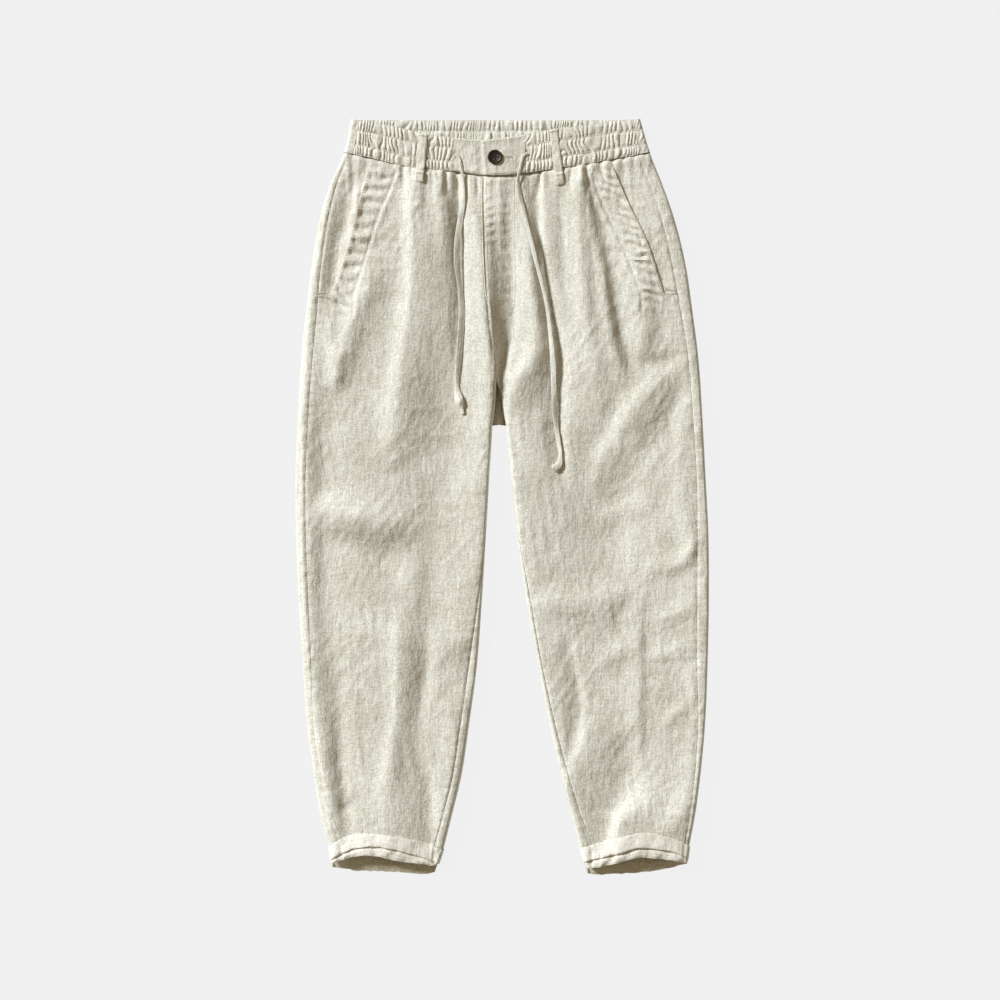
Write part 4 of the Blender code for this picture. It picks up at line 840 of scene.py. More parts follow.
# %% [markdown]
# ## Closed walls from grids
# A sheet has no thickness, so its hems would look like paper. Each piece is a grid of outer points and a
# second one a cloth's thickness behind it, joined round the rim into one closed wall.

# %% Wall builder
def wall(name, outer, inner, material, wrong_side=None):
    """A closed wall between two grids of points. wrong_side is the material of its inner face: the darker
    linen whose colour is painted shade.
    """
    rows, columns = outer.shape[:2]
    count = rows * columns
    index = np.arange(count).reshape(rows, columns)
    quads = np.stack([index[:-1, :-1], index[:-1, 1:], index[1:, 1:], index[1:, :-1]], axis=-1)
    quads = quads.reshape(-1, 4)
    rim = np.concatenate([index[0, :-1], index[:-1, -1], index[-1, :0:-1], index[:0:-1, 0]])
    after = np.roll(rim, -1)
    sides = np.stack([after, rim, rim + count, after + count], axis=-1)
    faces = np.concatenate([quads, quads[:, ::-1] + count, sides])
    vertices = np.concatenate([outer.reshape(-1, 3), inner.reshape(-1, 3)])
    made = finished(name, vertices, faces, material)
    if wrong_side is not None:
        made.data.materials.append(wrong_side)
        inside = (np.arange(len(faces)) >= len(quads)).astype(np.int32)
        made.data.polygons.foreach_set("material_index", inside)
    return made


def tube_faces(rings, around):
    """The faces of a tube of rings of points. Returns the rings' point numbers too."""
    index = np.arange(rings * around).reshape(rings, around)
    after = np.roll(index, -1, axis=1)
    return index, np.stack([index[:-1], after[:-1], after[1:], index[1:]], axis=-1).reshape(-1, 4)


SHARP = math.radians(60)  # an edge that turns further than this stays crisp


def finished(name, vertices, faces, material):
    """A smooth-shaded object of four-sided faces, turned outwards."""
    corners = vertices[faces]
    volume = np.einsum("ij,ij->", corners[:, 0], np.cross(corners[:, 1], corners[:, 2]))
    volume += np.einsum("ij,ij->", corners[:, 0], np.cross(corners[:, 2], corners[:, 3]))
    if volume < 0:
        faces = faces[:, ::-1]
    mesh = bpy.data.meshes.new(name)
    mesh.vertices.add(len(vertices))
    mesh.vertices.foreach_set("co", vertices.astype(np.float32).ravel())
    mesh.loops.add(faces.size)
    mesh.loops.foreach_set("vertex_index", faces.astype(np.int32).ravel())
    mesh.polygons.add(len(faces))
    mesh.polygons.foreach_set("loop_start", np.arange(0, faces.size, 4, dtype=np.int32))
    mesh.update(calc_edges=True)
    mesh.validate()
    mesh.shade_smooth()
    mesh.set_sharp_from_angle(angle=SHARP)
    mesh.materials.append(material)
    made = bpy.data.objects.new(name, mesh)
    scene.collection.objects.link(made)
    return made


# %% [markdown]
# ## Fronts, backs and pocket facings
# A leg's section is a flat ring: along the top from the outer fold to the inner one, and back underneath.
# The place on the ring is measured by one length, q, so a panel is simply a stretch of q in each section.
# Fronts end at the seams that show on top; the backs run under the leg and fold up round both edges.

# %% One section of a leg
ROW_STEP = 2.6  # mm down the leg from row to row
KINK_STEP = 0.6  # mm from a place where the cut changes to the rows beside it
PROBE = 0.4  # mm to either side, to feel which way a face looks


def leg_section(side, station):
    """Outer edge, way inwards, roundness of the inner edge, and the width on top and underneath."""
    sign = SIDE_SIGN[side]
    outer = sign * outline(side, OUTER, station)
    inner_top = inner_bottom = sign * outline(side, INNER, station)
    inner_round = EDGE_ROUND
    if station < CROTCH:
        inner_bottom = BACK_CENTRE
        apart = max(0.0, (station - FORK) / (CROTCH - FORK))
        inner_top = float(centre_front(station)) * (1 - apart) + inner_top * apart
        inner_round = EDGE_ROUND * min(1.0, apart * 4)
    wide_top = abs(inner_top - outer) - EDGE_ROUND - inner_round
    wide_bottom = abs(inner_bottom - outer) - EDGE_ROUND - (inner_round if station > CROTCH else 0)
    return outer, -sign, inner_round, wide_top, wide_bottom


def seam_place(side, column, station):
    """Where the outseam or inseam lies along the section, from where the folded edge meets the top."""
    inset = max(0.0, float(outline(side, column, station)))
    if inset >= EDGE_ROUND:
        return inset - EDGE_ROUND
    return -EDGE_ROUND * math.asin(1 - inset / EDGE_ROUND)


def hem_share(side, across):
    """How far a place is from the hem's outer edge, 0, to its inner edge, 1."""
    outer, inner = outline(side, OUTER, CUFF_START), outline(side, INNER, CUFF_START)
    return np.clip((outer - np.abs(across)) / (outer - inner), 0, 1)


def cuff_top(side, across, share_up):
    """Drop of the seam between leg and turn-up: arched on the front, straight on the back."""
    return CUFF_START + (HEM_CURVES[side][HEM_TOP](hem_share(side, across)) - CUFF_START) * share_up


def skin_row(side, station, q, lapped):
    """One row of a leg's skin as across, drop, share of the full height, and height added at the fly."""
    outer, inward, inner_round, wide_top, wide_bottom = leg_section(side, station)
    inner_arc = math.pi * inner_round
    whole = wide_top + inner_arc + wide_bottom + math.pi * EDGE_ROUND
    q = np.where(q > wide_top + inner_arc + wide_bottom, q - whole, q)
    fold_angle = np.clip(-q / EDGE_ROUND, 0, math.pi)
    on_bottom = (q > wide_top + inner_arc) & (not lapped)
    inner_angle = 0 * q if lapped else np.clip((q - wide_top) / max(inner_round, 1e-6), 0, math.pi)
    inset_top = EDGE_ROUND + np.clip(q, 0, wide_top + (FLY_LAP if lapped else 0))
    inset_bottom = EDGE_ROUND + wide_bottom - (q - wide_top - inner_arc)
    inset = np.where(on_bottom, inset_bottom, inset_top + inner_round * np.sin(inner_angle))
    across = outer + inward * (inset - EDGE_ROUND * np.sin(fold_angle))
    share_up = np.where(on_bottom, 0, (1 + np.cos(fold_angle)) / 2 * (1 + np.cos(inner_angle)) / 2)
    dip = (waist_seam(across) - BAND_DROP) * (1 - ease(station, BAND_DROP, DIP_END)) * share_up
    arch = (cuff_top(side, across, share_up) - CUFF_START) * ease(station, ARCH_START, CUFF_START)
    lift = 0 * q
    if lapped:
        near_edge = 1 - ease(wide_top - q, 0.6 * FLY_WIDE, FLY_WIDE)
        lift = FLY_RISE * (1 - ease(station, FLY_END, FLY_FLAT)) * near_edge
    return across, station + dip + arch, share_up, lift


# %% Rows and columns of the panels
# Columns run along the cut edges and along two guide lines, this far in from the side edges where the leg is
# wide enough, so that they lie closest where the cloth bends most.
OUTER_GUIDE, INNER_GUIDE = 68.0, 28.0
FRONT_COLUMNS = (7, 21, 65, 14, 9)
BACK_COLUMNS = (48, 13, 8)


def front_span(side, station):
    """The stretch of the section that the front panel covers."""
    outer, _, inner_round, wide_top, _ = leg_section(side, station)
    if station < POCKET_END:
        start = abs(float(pocket_mouth[side](station)) - outer) - EDGE_ROUND
    else:
        start = seam_place(side, OUTSEAM, station)
    if station > CROTCH:
        return start + SEAM / 2, wide_top - seam_place(side, INSEAM, station) - INSEAM_SPACE / 2
    lap = FLY_LAP * (1 - float(ease(station, FLY_END - 40, FLY_END))) if side == "left" else 0
    return start + SEAM / 2, wide_top + math.pi / 2 * inner_round - SEAM / 2 + lap


def beside_mouth(side, station, start):
    """The q where the columns that run beside the pocket's mouth begin, also below its end."""
    mouth_end = abs(float(pocket_mouth[side](POCKET_END)) - leg_section(side, POCKET_END)[0]) - EDGE_ROUND
    return start + 1.0 if station < POCKET_END else max(start, mouth_end + SEAM / 2) + 1.0


def front_places(side, station):
    """The q of each column of a front."""
    start, end = front_span(side, station)
    beside = beside_mouth(side, station, start)
    width = float(outline(side, OUTER, station) - outline(side, INNER, station))
    outer_guide = min(OUTER_GUIDE, 0.36 * width) - EDGE_ROUND
    inner_guide = width - EDGE_ROUND - min(INNER_GUIDE, 0.2 * width)
    turn = min(leg_section(side, station)[3], end - 2.0)
    return places_through((start, beside, outer_guide, inner_guide, turn, end), FRONT_COLUMNS)


def back_places(side, station):
    """The q of each column of a back, from the inseam round under the leg to the outseam."""
    _, _, inner_round, wide_top, wide_bottom = leg_section(side, station)
    bottom = wide_top + math.pi * inner_round
    under = bottom + wide_bottom
    lap = max(seam_place(side, OUTSEAM, station) - SEAM / 2, 0.5)
    edge = under + math.pi * EDGE_ROUND
    if station < CROTCH:
        inner, counts = (bottom + 0.01, bottom + 4.01), (19,)
    else:
        inseam = wide_top - seam_place(side, INSEAM, station) + INSEAM_SPACE / 2
        inner, counts = (inseam, max(inseam + 0.01, wide_top), bottom), (7, 13)
    return places_through((*inner, under, edge, edge + lap), counts + BACK_COLUMNS)


def row_stations(first, last, kinks):
    """Even rows with a close pair of rows at each kink, where the cut changes."""
    ends = [first] + [k for kink in kinks for k in (kink - KINK_STEP, kink + KINK_STEP)] + [last]
    counts = [max(2, int(round((high - low) / ROW_STEP)) + 1) for low, high in zip(ends, ends[1:])]
    return places_through(ends, counts)


def skin_normals(side, rows, places, lapped):
    """Unit normals into the leg, by a small step to either side along each section."""
    made = []
    for station, q in zip(rows, places):
        low, high = q - PROBE, q + PROBE
        with_lap = lapped and station < FORK
        if station < CROTCH and not with_lap:
            _, _, inner_round, wide_top, _ = leg_section(side, station)
            parting = wide_top + math.pi * inner_round
            low = np.where(q > parting, np.maximum(low, parting + 0.01), low)
            high = np.where(q > parting, high, np.minimum(high, parting - 0.01))
        made.append([skin_row(side, station, at, with_lap) for at in (low, high)])
    across, drop, share_up, lift = np.moveaxis(np.array(made), 2, 0)
    height = share_up * top_height(across, drop) + lift
    before, after = np.stack([across, drop, height], axis=-1).swapaxes(0, 1)
    normal = np.cross(after - before, (0, SIDE_SIGN[side], 0))
    return normal / np.maximum(np.linalg.norm(normal, axis=2, keepdims=True), 1e-9)


def panel(key, side, rows, places_of, sunk):
    """A cloth panel over places_of(side, station) in each section. sunk lowers its outer face."""
    lapped = key == "front_left"
    places = [places_of(side, station) for station in rows]
    skin = np.array([skin_row(side, s, q, lapped and s < FORK) for s, q in zip(rows, places)])
    across, drop, share_up, lift = np.moveaxis(skin, 1, 0)
    height = share_up * top_height(across, drop) + lift
    outer = np.stack([across, drop, height], axis=-1)
    normal = skin_normals(side, rows, places, lapped)
    if sunk is not None:
        outer = outer + normal * np.array([sunk(side, s, q) for s, q in zip(rows, places)])[..., None]
    inner = outer + normal * CLOTH
    outer, inner = placed(*np.moveaxis(outer, 2, 0)), placed(*np.moveaxis(inner, 2, 0))
    made = wall(f"{key}_cloth", outer, inner, linen, shaded_inside_linen)
    print(made.name, len(made.data.polygons), "faces")
    return made


# %% Cut the panels
cloth = {}
FIRST_ROW = BAND_DROP + SEAM
FRONT_ROWS = row_stations(FIRST_ROW, CUFF_START + 1.5, (POCKET_END, CROTCH))
BACK_ROWS = row_stations(FIRST_ROW, CUFF_START - 0.6, (CROTCH,))
FACING_ROWS = row_stations(FIRST_ROW, POCKET_END - 0.6, ())
FACING_UNDER = 14.0  # mm that a facing runs on under the front


def facing_places(side, station):
    """The q of each column of a pocket facing, from the outseam to under the front."""
    start = seam_place(side, OUTSEAM, station) + SEAM / 2
    return np.linspace(start, front_span(side, station)[0] + FACING_UNDER, 40)


def facing_sunk(side, station, q):
    """A facing goes down from the outseam until it lies a cloth's thickness under the front."""
    start = seam_place(side, OUTSEAM, station) + SEAM / 2
    mouth = front_span(side, station)[0]
    return (CLOTH + SEAM) * ease(q, start, max(mouth - 4, start + 4))


def back_sunk(side, station, q):
    """The centre back seam, drawn in a little between the two backs."""
    _, _, inner_round, wide_top, _ = leg_section(side, station)
    return (station < CROTCH) * 0.4 * bell(q - wide_top - math.pi * inner_round, 1.5)


for side in SIDE_SIGN:
    for kind, rows, places_of, sunk in (
        ("front", FRONT_ROWS, front_places, None),
        ("back", BACK_ROWS, back_places, back_sunk),
        ("pocket_facing", FACING_ROWS, facing_places, facing_sunk),
    ):
        key = f"{kind}_{side}"
        cloth[key] = panel(key, side, rows, places_of, sunk)
        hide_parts(key)

# %% [markdown]
# ## The waistband
# The band is a tube of linen over wide elastic, stitched through twice so that it has three channels. The
# elastic pulls the cloth into gathers: rounded ridges with narrow valleys, out of step from channel to
# channel, and flat along the stitching. A rounded wave sharpened at its valleys gives that section.

# %% Gathers
BAND_PROUD = 1.4  # mm from the height of the garment's top to either face of the band
BAND_THICK = 2.8  # mm, the back band's cloth and elastic
BAND_ROUND = 4.5  # mm, radius of the band's side folds
BAND_INSET = 11.0  # mm from the side edge in to the side seam
BAND_HEIGHT = 44.0
GATHER_WIDTH = 6.2  # mm from ridge to ridge
GATHER_RISE = 2.0
CHANNEL_STITCHES = (0.31, 0.72)  # shares of the band's height where it is stitched through


def gathers(along, share):
    """Height of the gathers at a place along the band and a share of its height, 0 to about 2."""
    channel = np.digitize(share, CHANNEL_STITCHES)
    # slip and lean put the ridges out of step, size makes them uneven, and the stitches hold them down
    slip = 3.4 * soft_noise(along / 19 + 0.35 * channel, 0 * share + 3) + 0.2 * channel
    lean = 1.5 * (soft_noise(along / 12, share * 3.5 + 0.5 * channel) - 0.5)
    wave = np.abs(np.sin(math.pi * (along / GATHER_WIDTH + slip + lean)))
    size = 0.35 + 1.2 * soft_noise(along / 6 + 2 * channel, share * 2.5 + 8)
    ends = (0.0,) + CHANNEL_STITCHES + (1.0,)
    from_line = np.min([np.abs(share - end) * BAND_HEIGHT for end in ends], axis=0)
    pulled = 0.45 + 0.55 * ease(from_line, 0.3, 3.5)
    bulge = ease(from_line, 0, 7.0)
    return pulled * GATHER_RISE * size * wave**0.7 + 0.3 * bulge - 0.6


def on_front_band(across, share):
    """Drop of a place on the front of the waistband, for its share of the height."""
    return waist_top(across) + (waist_seam(across) - SEAM / 2 - waist_top(across)) * share


def side_seam(side, share):
    """Signed across of the seam between the front and back bands at a share of the band's height."""
    drop = BAND_TOP + (BAND_DROP - BAND_TOP) * share
    return SIDE_SIGN[side] * (outline(side, OUTER, drop) - BAND_INSET)


# %% Front stretches of the band
CENTRE_ENDS = {"right": -54.7, "left": 33.7}  # across, where the elastic ends
EYELETS = {"right": (-54.5, 46.0), "left": (36.5, 45.0)}  # across, drop
EYELET_DEPTH = 1.3


def eyelet_dip(across, drop):
    """The slits that the drawstring comes out of pull the cloth in."""
    return EYELET_DEPTH * sum(bell(across - x, 2.6) * bell(drop - d, 4.5) for x, d in EYELETS.values())


def front_stretch(side):
    """One elastic stretch of the front band, from its side seam to the flat middle."""
    share = np.linspace(0, 1, 46)[:, None]
    share_in = np.linspace(0, 1, 250)[None, :]
    middle = CENTRE_ENDS[side] + SIDE_SIGN[side] * SEAM
    side_end = side_seam(side, share) - SIDE_SIGN[side] * SEAM / 2
    across = side_end + (middle - side_end) * share_in
    share = share + 0 * across
    drop = on_front_band(across, share)
    relief = gathers(across, share)
    edge = np.minimum(share_in, 1 - share_in) * 130
    drop = drop + 0.35 * relief * (share == 0) - 0.4 * (share == 0)
    base = base_height(across, drop)
    height = base + 0.75 + relief * ease(edge, -1.5, 2.5) - eyelet_dip(across, drop)
    outer = placed(across, drop, height)
    inner = placed(across, drop, base - BAND_PROUD)
    return wall(f"waistband_front_cloth_{side}", outer, inner, linen_band)


for side in SIDE_SIGN:
    key = f"waistband_front_{side}"
    cloth[key] = front_stretch(side)
    print(key, len(cloth[key].data.polygons), "faces")

# %% [markdown]
# ## The flat middle of the band
# Between the drawstring's slits the band has no elastic and lies flat. Its left end laps over the right one
# and takes the buttonhole. Small height tables make the step, and the free end's corner is rounded.

# %% Both ends of the flat middle
# across, lower face, upper face, over the base height
CENTRE_BAND = {
    "right": ((-54.7, -1.4, 1.4), (-28, -1.4, 1.4), (-25, -1.55, 0.75), (-22, -1.7, 0.1), (12, -1.7, 0.1)),
    "left": (
        (-21, 0.7, 2.7), (14, 0.7, 2.7), (18, 0.15, 2.4), (21, -0.35, 2.1), (24, -0.85, 1.8), (28, -1.4, 1.5),
        (33.7, -1.4, 1.5),
    ),
}


CORNER = 4.0  # mm, radius of the free end's corner
FREE_END = -21.0  # across, the end of the left piece
FREE_SLANT = 4.6  # mm that this end leans over the band's height


def centre_band(side):
    """One end of the flat middle, with a welt along its stitched edges."""
    table = np.array(CENTRE_BAND[side])
    columns = np.linspace(table[0, 0], table[-1, 0], 90)
    edge_rows = 0.5 - 0.5 * np.cos(np.linspace(0, math.pi, 46))
    share, across = np.meshgrid(edge_rows, columns, indexing="ij")
    low, high = np.interp(across, table[:, 0], table[:, 1]), np.interp(across, table[:, 0], table[:, 2])
    drop = on_front_band(across, share)
    from_end = np.full_like(across, 50.0)
    if side == "left":
        slant = FREE_SLANT * (share - 0.1) * (1 - ease(across, FREE_END, -4))
        from_end = across - FREE_END
        cut_back = CORNER - np.sqrt(np.maximum(CORNER**2 - np.maximum(CORNER - from_end, 0) ** 2, 0))
        drop = drop + cut_back * (1 - share)
        across = across + slant
    base = base_height(across, drop)
    from_edge = np.minimum(np.minimum(share, 1 - share) * BAND_HEIGHT, from_end)
    rounding = 0.55 * (1 - ease(from_edge, 0, 1.2))
    welt = 0.22 * span(from_edge, 1.0, 2.2, 4.0, 6.0)
    ripple = crumple(across * 1.3, drop * 1.1 + 60)
    height = base + high - rounding + welt - 0.2 + ripple - eyelet_dip(across, drop)
    height = np.maximum(height, base + low + 0.8)
    outer, inner = placed(across, drop, height), placed(across, drop, base + low)
    return wall(f"waistband_centre_cloth_{side}", outer, inner, linen_band)


for side in SIDE_SIGN:
    key = f"waistband_centre_{side}"
    cloth[key] = centre_band(side)
    print(key, len(cloth[key].data.polygons), "faces")

# %% [markdown]
# ## The back of the band
# The back of the band runs under the front one, folds up round both sides and ends at the side seams. Its
# gathered inner face shows above the dipped top of the front. Its outer face lies flat on the table.

# %% Back band
def band_fold(side, share, drop, turn):
    """The back band's folded end at one row: across and height of its outer face, then of its inner face."""
    sign = SIDE_SIGN[side]
    edge = sign * float(outline(side, OUTER, drop))
    lap = float(side_seam(side, share)) + sign * SEAM / 2
    over = np.linspace(edge - sign * BAND_ROUND, lap, 8)[1:]
    over_height = base_height(over, np.full(7, drop)) + BAND_PROUD
    fold_top = float(base_height(np.array([edge - sign * BAND_ROUND]), np.array([drop]))[0]) + BAND_PROUD
    half = fold_top / 2
    across = edge - sign * BAND_ROUND * (1 - np.sin(turn))
    across_in = edge - sign * (BAND_ROUND - (BAND_ROUND - BAND_THICK) * np.sin(turn))
    return (
        np.append(across, over),
        np.append(half * (1 - np.cos(turn)), over_height),
        np.append(across_in, over),
        np.append(half - (half - BAND_THICK) * np.cos(turn), over_height - BAND_THICK),
    )


def back_band():
    """The back of the band with both its folded ends, row by row from the top."""
    turn = np.linspace(0, math.pi, 22)
    outer, inner = [], []
    for share in np.linspace(0, 1, 40):
        drop = BAND_TOP + (BAND_DROP - SEAM - BAND_TOP) * share
        right = [part[::-1] for part in band_fold("right", share, drop, turn)]
        left = band_fold("left", share, drop, turn)
        flat = np.linspace(right[0][-1], left[0][0], 402)[1:-1]
        across, height, across_in, height_in = (
            np.concatenate([a, b, c])
            for a, b, c in zip(right, (flat, 0 * flat, flat, 0 * flat + BAND_THICK), left)
        )
        relief = gathers(across * 1.04 + 400, share + 0 * across)
        on_flat = ease(np.abs(across), 150, 172)
        upright = np.clip(height / 9.0, 0, 1)
        height_in = height_in + (relief - 0.6) * (1 - on_flat) * (1 - upright)
        height = height + upright**4 * (relief - 0.7) * (1 - 0.5 * on_flat)
        share_up = np.clip(height / full_edge(0), 0, 1)
        top_dip = (waist_top(across) - BAND_TOP) * (1 - share)
        seam_dip = (waist_seam(across) - BAND_DROP) * share
        drops = drop + (top_dip + seam_dip) * share_up + 0.35 * relief * (share == 0) * (1 - share_up)
        outer.append(placed(across, drops, height))
        inner.append(placed(across_in, drops, height_in))
    return wall("waistband_back_cloth", np.array(outer), np.array(inner), linen_band)


cloth["waistband_back"] = back_band()
print("waistband_back", len(cloth["waistband_back"].data.polygons), "faces")
for key in [key for key in cloth if key.startswith("waistband")]:
    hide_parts(key)

# %% [markdown]
# ## Turned-up hems
# Each hem is turned up to the outside: from its seam the cloth swells into a soft roll, and below the roll
# the inner layer's lip shows. The roll's section is one table, and its lines across the leg are another.

# %% Hem tables
# across of the outer and the inner edge at the top, then at the lip
HEM_EDGES = {"right": (211.5, 67.0, 207.5, 79.0), "left": (239.5, 101.5, 236.0, 111.5)}
# way down from the seam, 0, over the roll's end, 1, to the lip, 2: height over the front, thickness
CUFF_ROWS = (
    (0.0, 0.35, 1.6),
    (0.12, 1.2, 2.5),
    (0.5, 2.6, 3.8),
    (0.88, 3.8, 4.6),
    (0.96, 3.6, 4.4),
    (1.02, 0.9, 2.1),
    (1.35, 2.1, 3.2),
    (1.7, 2.6, 3.6),
    (2.0, 1.6, 2.8),
)
CUFF_ROUND = 4.5  # mm, radius of the turn-ups' side folds
CUFF_TURN = math.radians(84)  # how far round each half folds; the two leave a small gap


def cuff_edges(side, share_down):
    """Outer and inner side edge of a turn-up at a share of its height down."""
    top_outer, top_inner, low_outer, low_inner = HEM_EDGES[side]
    outer = top_outer + (low_outer - top_outer) * share_down
    inner = top_inner + (low_inner - top_inner) * share_down
    return SIDE_SIGN[side] * outer, SIDE_SIGN[side] * inner


def cuff_row(side, share_down, turn, share_in):
    """Across of one row from the outer edge to the inner one, and which way its folded ends face."""
    outer, inner = cuff_edges(side, share_down)
    toward = np.sign(inner - outer)
    flat = outer + toward * (CUFF_ROUND + (abs(inner - outer) - 2 * CUFF_ROUND) * share_in)
    folded = CUFF_ROUND * (1 - np.sin(turn))
    across = np.concatenate([outer + toward * folded[::-1], flat[1:-1], inner - toward * folded])
    way_out = np.concatenate([-toward * np.sin(turn[::-1]), 0 * flat[1:-1], toward * np.sin(turn)])
    return flat, across, way_out


# %% Front and back of the turn-ups
CUFF_ANGLES = np.linspace(0, CUFF_TURN, 10)
# rows down a turn-up, close together where the roll ends
CUFF_WAYS = places_through((0, 0.12, 0.9, 1.04, 2), (5, 14, 6, 12))


def hem_pucker(across, way):
    """The stitched hem draws the cloth into small slanting ripples."""
    lean = across / 3.6 + 1.2 * way + 3.5 * soft_noise(across / 17, way)
    wide = across / 13 + 2.5 * soft_noise(across / 31, way + 5)
    rise = 0.25 + 0.45 * soft_noise(across / 23 + 4, way * 1.4)
    # short slanting ripples, with broad soft ones under them
    return rise * np.sin(lean) * (0.5 + 0.5 * way) + 0.6 * np.sin(wide) * way / 2


def cuff_upright(share_in):
    """How far each place of a row faces up: 1 on the flat, and less round both folds."""
    return np.concatenate([np.cos(CUFF_ANGLES[::-1]), 1 + 0 * share_in[1:-1], np.cos(CUFF_ANGLES)])


def cuff_front(side):
    """The front of a turn-up: a soft roll, and the inner layer's lip under it, coloured paler as painted
    light.
    """
    even = np.linspace(0, 1, 76)
    share_in = even - 0.3 * np.sin(2 * math.pi * even) / (2 * math.pi)
    upright = cuff_upright(share_in)
    share_up = (1 + upright) / 2
    profile = np.array(CUFF_ROWS)

    def row_drop(across, up, way):
        share = hem_share(side, across)
        top, roll = cuff_top(side, across, up), HEM_CURVES[side][HEM_ROLL](share)
        lip = np.maximum(HEM_CURVES[side][HEM_LIP](share), roll + 1.8)
        return top + (roll - top) * min(way, 1) + (lip - roll) * max(way - 1, 0)

    outer_rows, inner_rows = [], []
    for way in CUFF_WAYS:
        proud = float(np.interp(way, profile[:, 0], profile[:, 1]))
        thick = float(np.interp(way, profile[:, 0], profile[:, 2]))
        flat, across, way_out = cuff_row(side, way / 2, CUFF_ANGLES, share_in)
        uneven = 1.1 * (soft_noise(across / 7 + 9, 0 * across + way * 2) - 0.5) * min(way, 1)
        drop = row_drop(across, share_up, way) + uneven
        crest = top_height(flat, row_drop(flat, 1, way)) + proud
        order = np.argsort(np.abs(flat))
        crown = np.interp(np.abs(across), np.abs(flat)[order], crest[order])
        ripple = hem_pucker(across, way) * ease(upright, 0.5, 1) * ease(way, 0.03, 0.2)
        outer_rows.append(placed(across, drop, (crown + ripple) * share_up))
        inner_rows.append(placed(across - way_out * thick, drop, crown * share_up - upright * thick))
    return wall(f"cuff_front_cloth_{side}", np.array(outer_rows), np.array(inner_rows), lit_turned_linen)


def cuff_back(side):
    """The back of a turn-up, flat on the table, which shows its wrong side in the hem's opening, coloured
    darker there as painted shade.
    """
    share_in = np.linspace(0, 1, 60)
    upright = cuff_upright(share_in)
    share_up = (1 - upright) / 2
    outer_rows, inner_rows = [], []
    for down in np.linspace(0, 1, 20):
        thick = float(np.interp(down, (0, 0.1, 0.6, 0.8, 1), (1.8, 2.6, 3.6, 2.6, 0.8)))
        _, across, way_out = cuff_row(side, down, CUFF_ANGLES, share_in)
        start = cuff_top(side, across, share_up)
        fray = 1.2 * (soft_noise(across / 5 + 3, 0 * across) - 0.5) * down**6
        drop = start + (HEM_CURVES[side][HEM_BACK](hem_share(side, across)) - start) * down + fray
        height = full_edge(CUFF_START) * share_up
        ripple = 0.5 * hem_pucker(across * 1.2 + 60, down) * ease(upright, 0.5, 1)
        outer_rows.append(placed(across, drop, height))
        inner_rows.append(placed(across - way_out * thick, drop, height + upright * thick + ripple))
    return wall(f"cuff_back_cloth_{side}", np.array(outer_rows), np.array(inner_rows), linen, shaded_inside_linen)


for side in SIDE_SIGN:
    for kind, made in (("cuff_front", cuff_front(side)), ("cuff_back", cuff_back(side))):
        cloth[f"{kind}_{side}"] = made
        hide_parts(f"{kind}_{side}")
        print(made.name, len(made.data.polygons), "faces")

# %% [markdown]
# ## What lies on the cloth
# Belt loops, drawstring, button and stitches all rest on the cloth that is already made, so their heights
# are measured on it: a ray straight down finds the highest cloth at each place.

# %% Measure the cloth's surface
bpy.context.view_layer.update()
graph = bpy.context.evaluated_depsgraph_get()
cloth_trees = [BVHTree.FromObject(piece, graph) for piece in cloth.values()]
DOWN = Vector((0, 0, -1))


def surface(across, drop):
    """Height in mm of the highest cloth at one place."""
    x, y, _ = placed(np.float64(across), np.float64(drop), 0.0)
    hits = [tree.ray_cast(Vector((x, y, 0.1)), DOWN)[0] for tree in cloth_trees]
    return max([hit.z / MM for hit in hits if hit] or [0.0])


def along_route(points, step):
    """Even places along a smooth curve through points, and the unit way sideways at each."""
    points = np.array(points, float)
    measure = np.append(0, np.cumsum(np.linalg.norm(np.diff(points, axis=0), axis=1)))
    curves = [smooth_curve(measure, points[:, k]) for k in (0, 1)]
    places = np.linspace(0, measure[-1], max(2, int(round(measure[-1] / step)) + 1))
    middle = np.stack([curve(places) for curve in curves], axis=-1)
    run = np.gradient(middle, axis=0)
    run = run / np.linalg.norm(run, axis=1, keepdims=True)
    return places, middle, np.stack([run[:, 1], -run[:, 0]], axis=-1)


def resting(middle, aside, half_width):
    """Height that a strip needs to lie on the cloth: the highest under its width, evened out along it."""
    highest = np.array(
        [max(surface(*(m + a * w)) for w in (-half_width, 0.0, half_width)) for m, a in zip(middle, aside)]
    )
    # first the highest within three steps either way, then a soft mean over four
    padded = np.pad(highest, 3, mode="edge")
    spread = np.max([padded[k : k + len(highest)] for k in range(7)], axis=0)
    padded = np.pad(spread, 4, mode="edge")
    weights = np.exp(-(np.linspace(-1.6, 1.6, 9) ** 2))
    return np.convolve(padded, weights / weights.sum(), mode="valid")


# %% [markdown]
# ## Drawstring
# The drawstring is a flat woven linen tape that leaves the band through two slits. Its two free ends lie
# down the fronts. A tape on its route keeps its width, but turns a little on its length, so it looks narrow
# near the slits. Each end is knotted or folded over so that it can't fray.

# %% The tapes
# across and drop along the middle of each tape
STRINGS = {
    "right": (
        (-54.4, 46.3), (-50, 49.4), (-46.3, 60), (-44.3, 74.4), (-43.8, 106), (-47.5, 132.5), (-50.6, 156),
        (-50.8, 185), (-47.5, 211), (-45, 237.5), (-46.3, 270), (-49.1, 302.5), (-50.8, 336), (-48, 354),
        (-43.8, 369),
    ),
    "left": (
        (36.9, 45), (31.9, 48), (28, 60), (25, 80), (27.5, 98.8), (33, 121), (38.8, 146), (46.9, 178.8),
        (53.8, 205), (61, 237.5), (65, 270), (68, 302.5), (69.4, 332.5), (70.2, 351), (72, 380), (75.5, 404),
        (77.5, 420), (75, 433), (69, 438),
    ),
}
TAPE_WIDTH = 7.0
TAPE_THICKNESS = 1.4
# the bump of the right tape's knot and of the left tape's folded end, in mm, and how far along they lie
TAPE_KNOTS = {"right": 3.2, "left": 0.8}
KNOT_AT = {"right": 311.0, "left": 403.0}
KNOT_LENGTH = 6.5
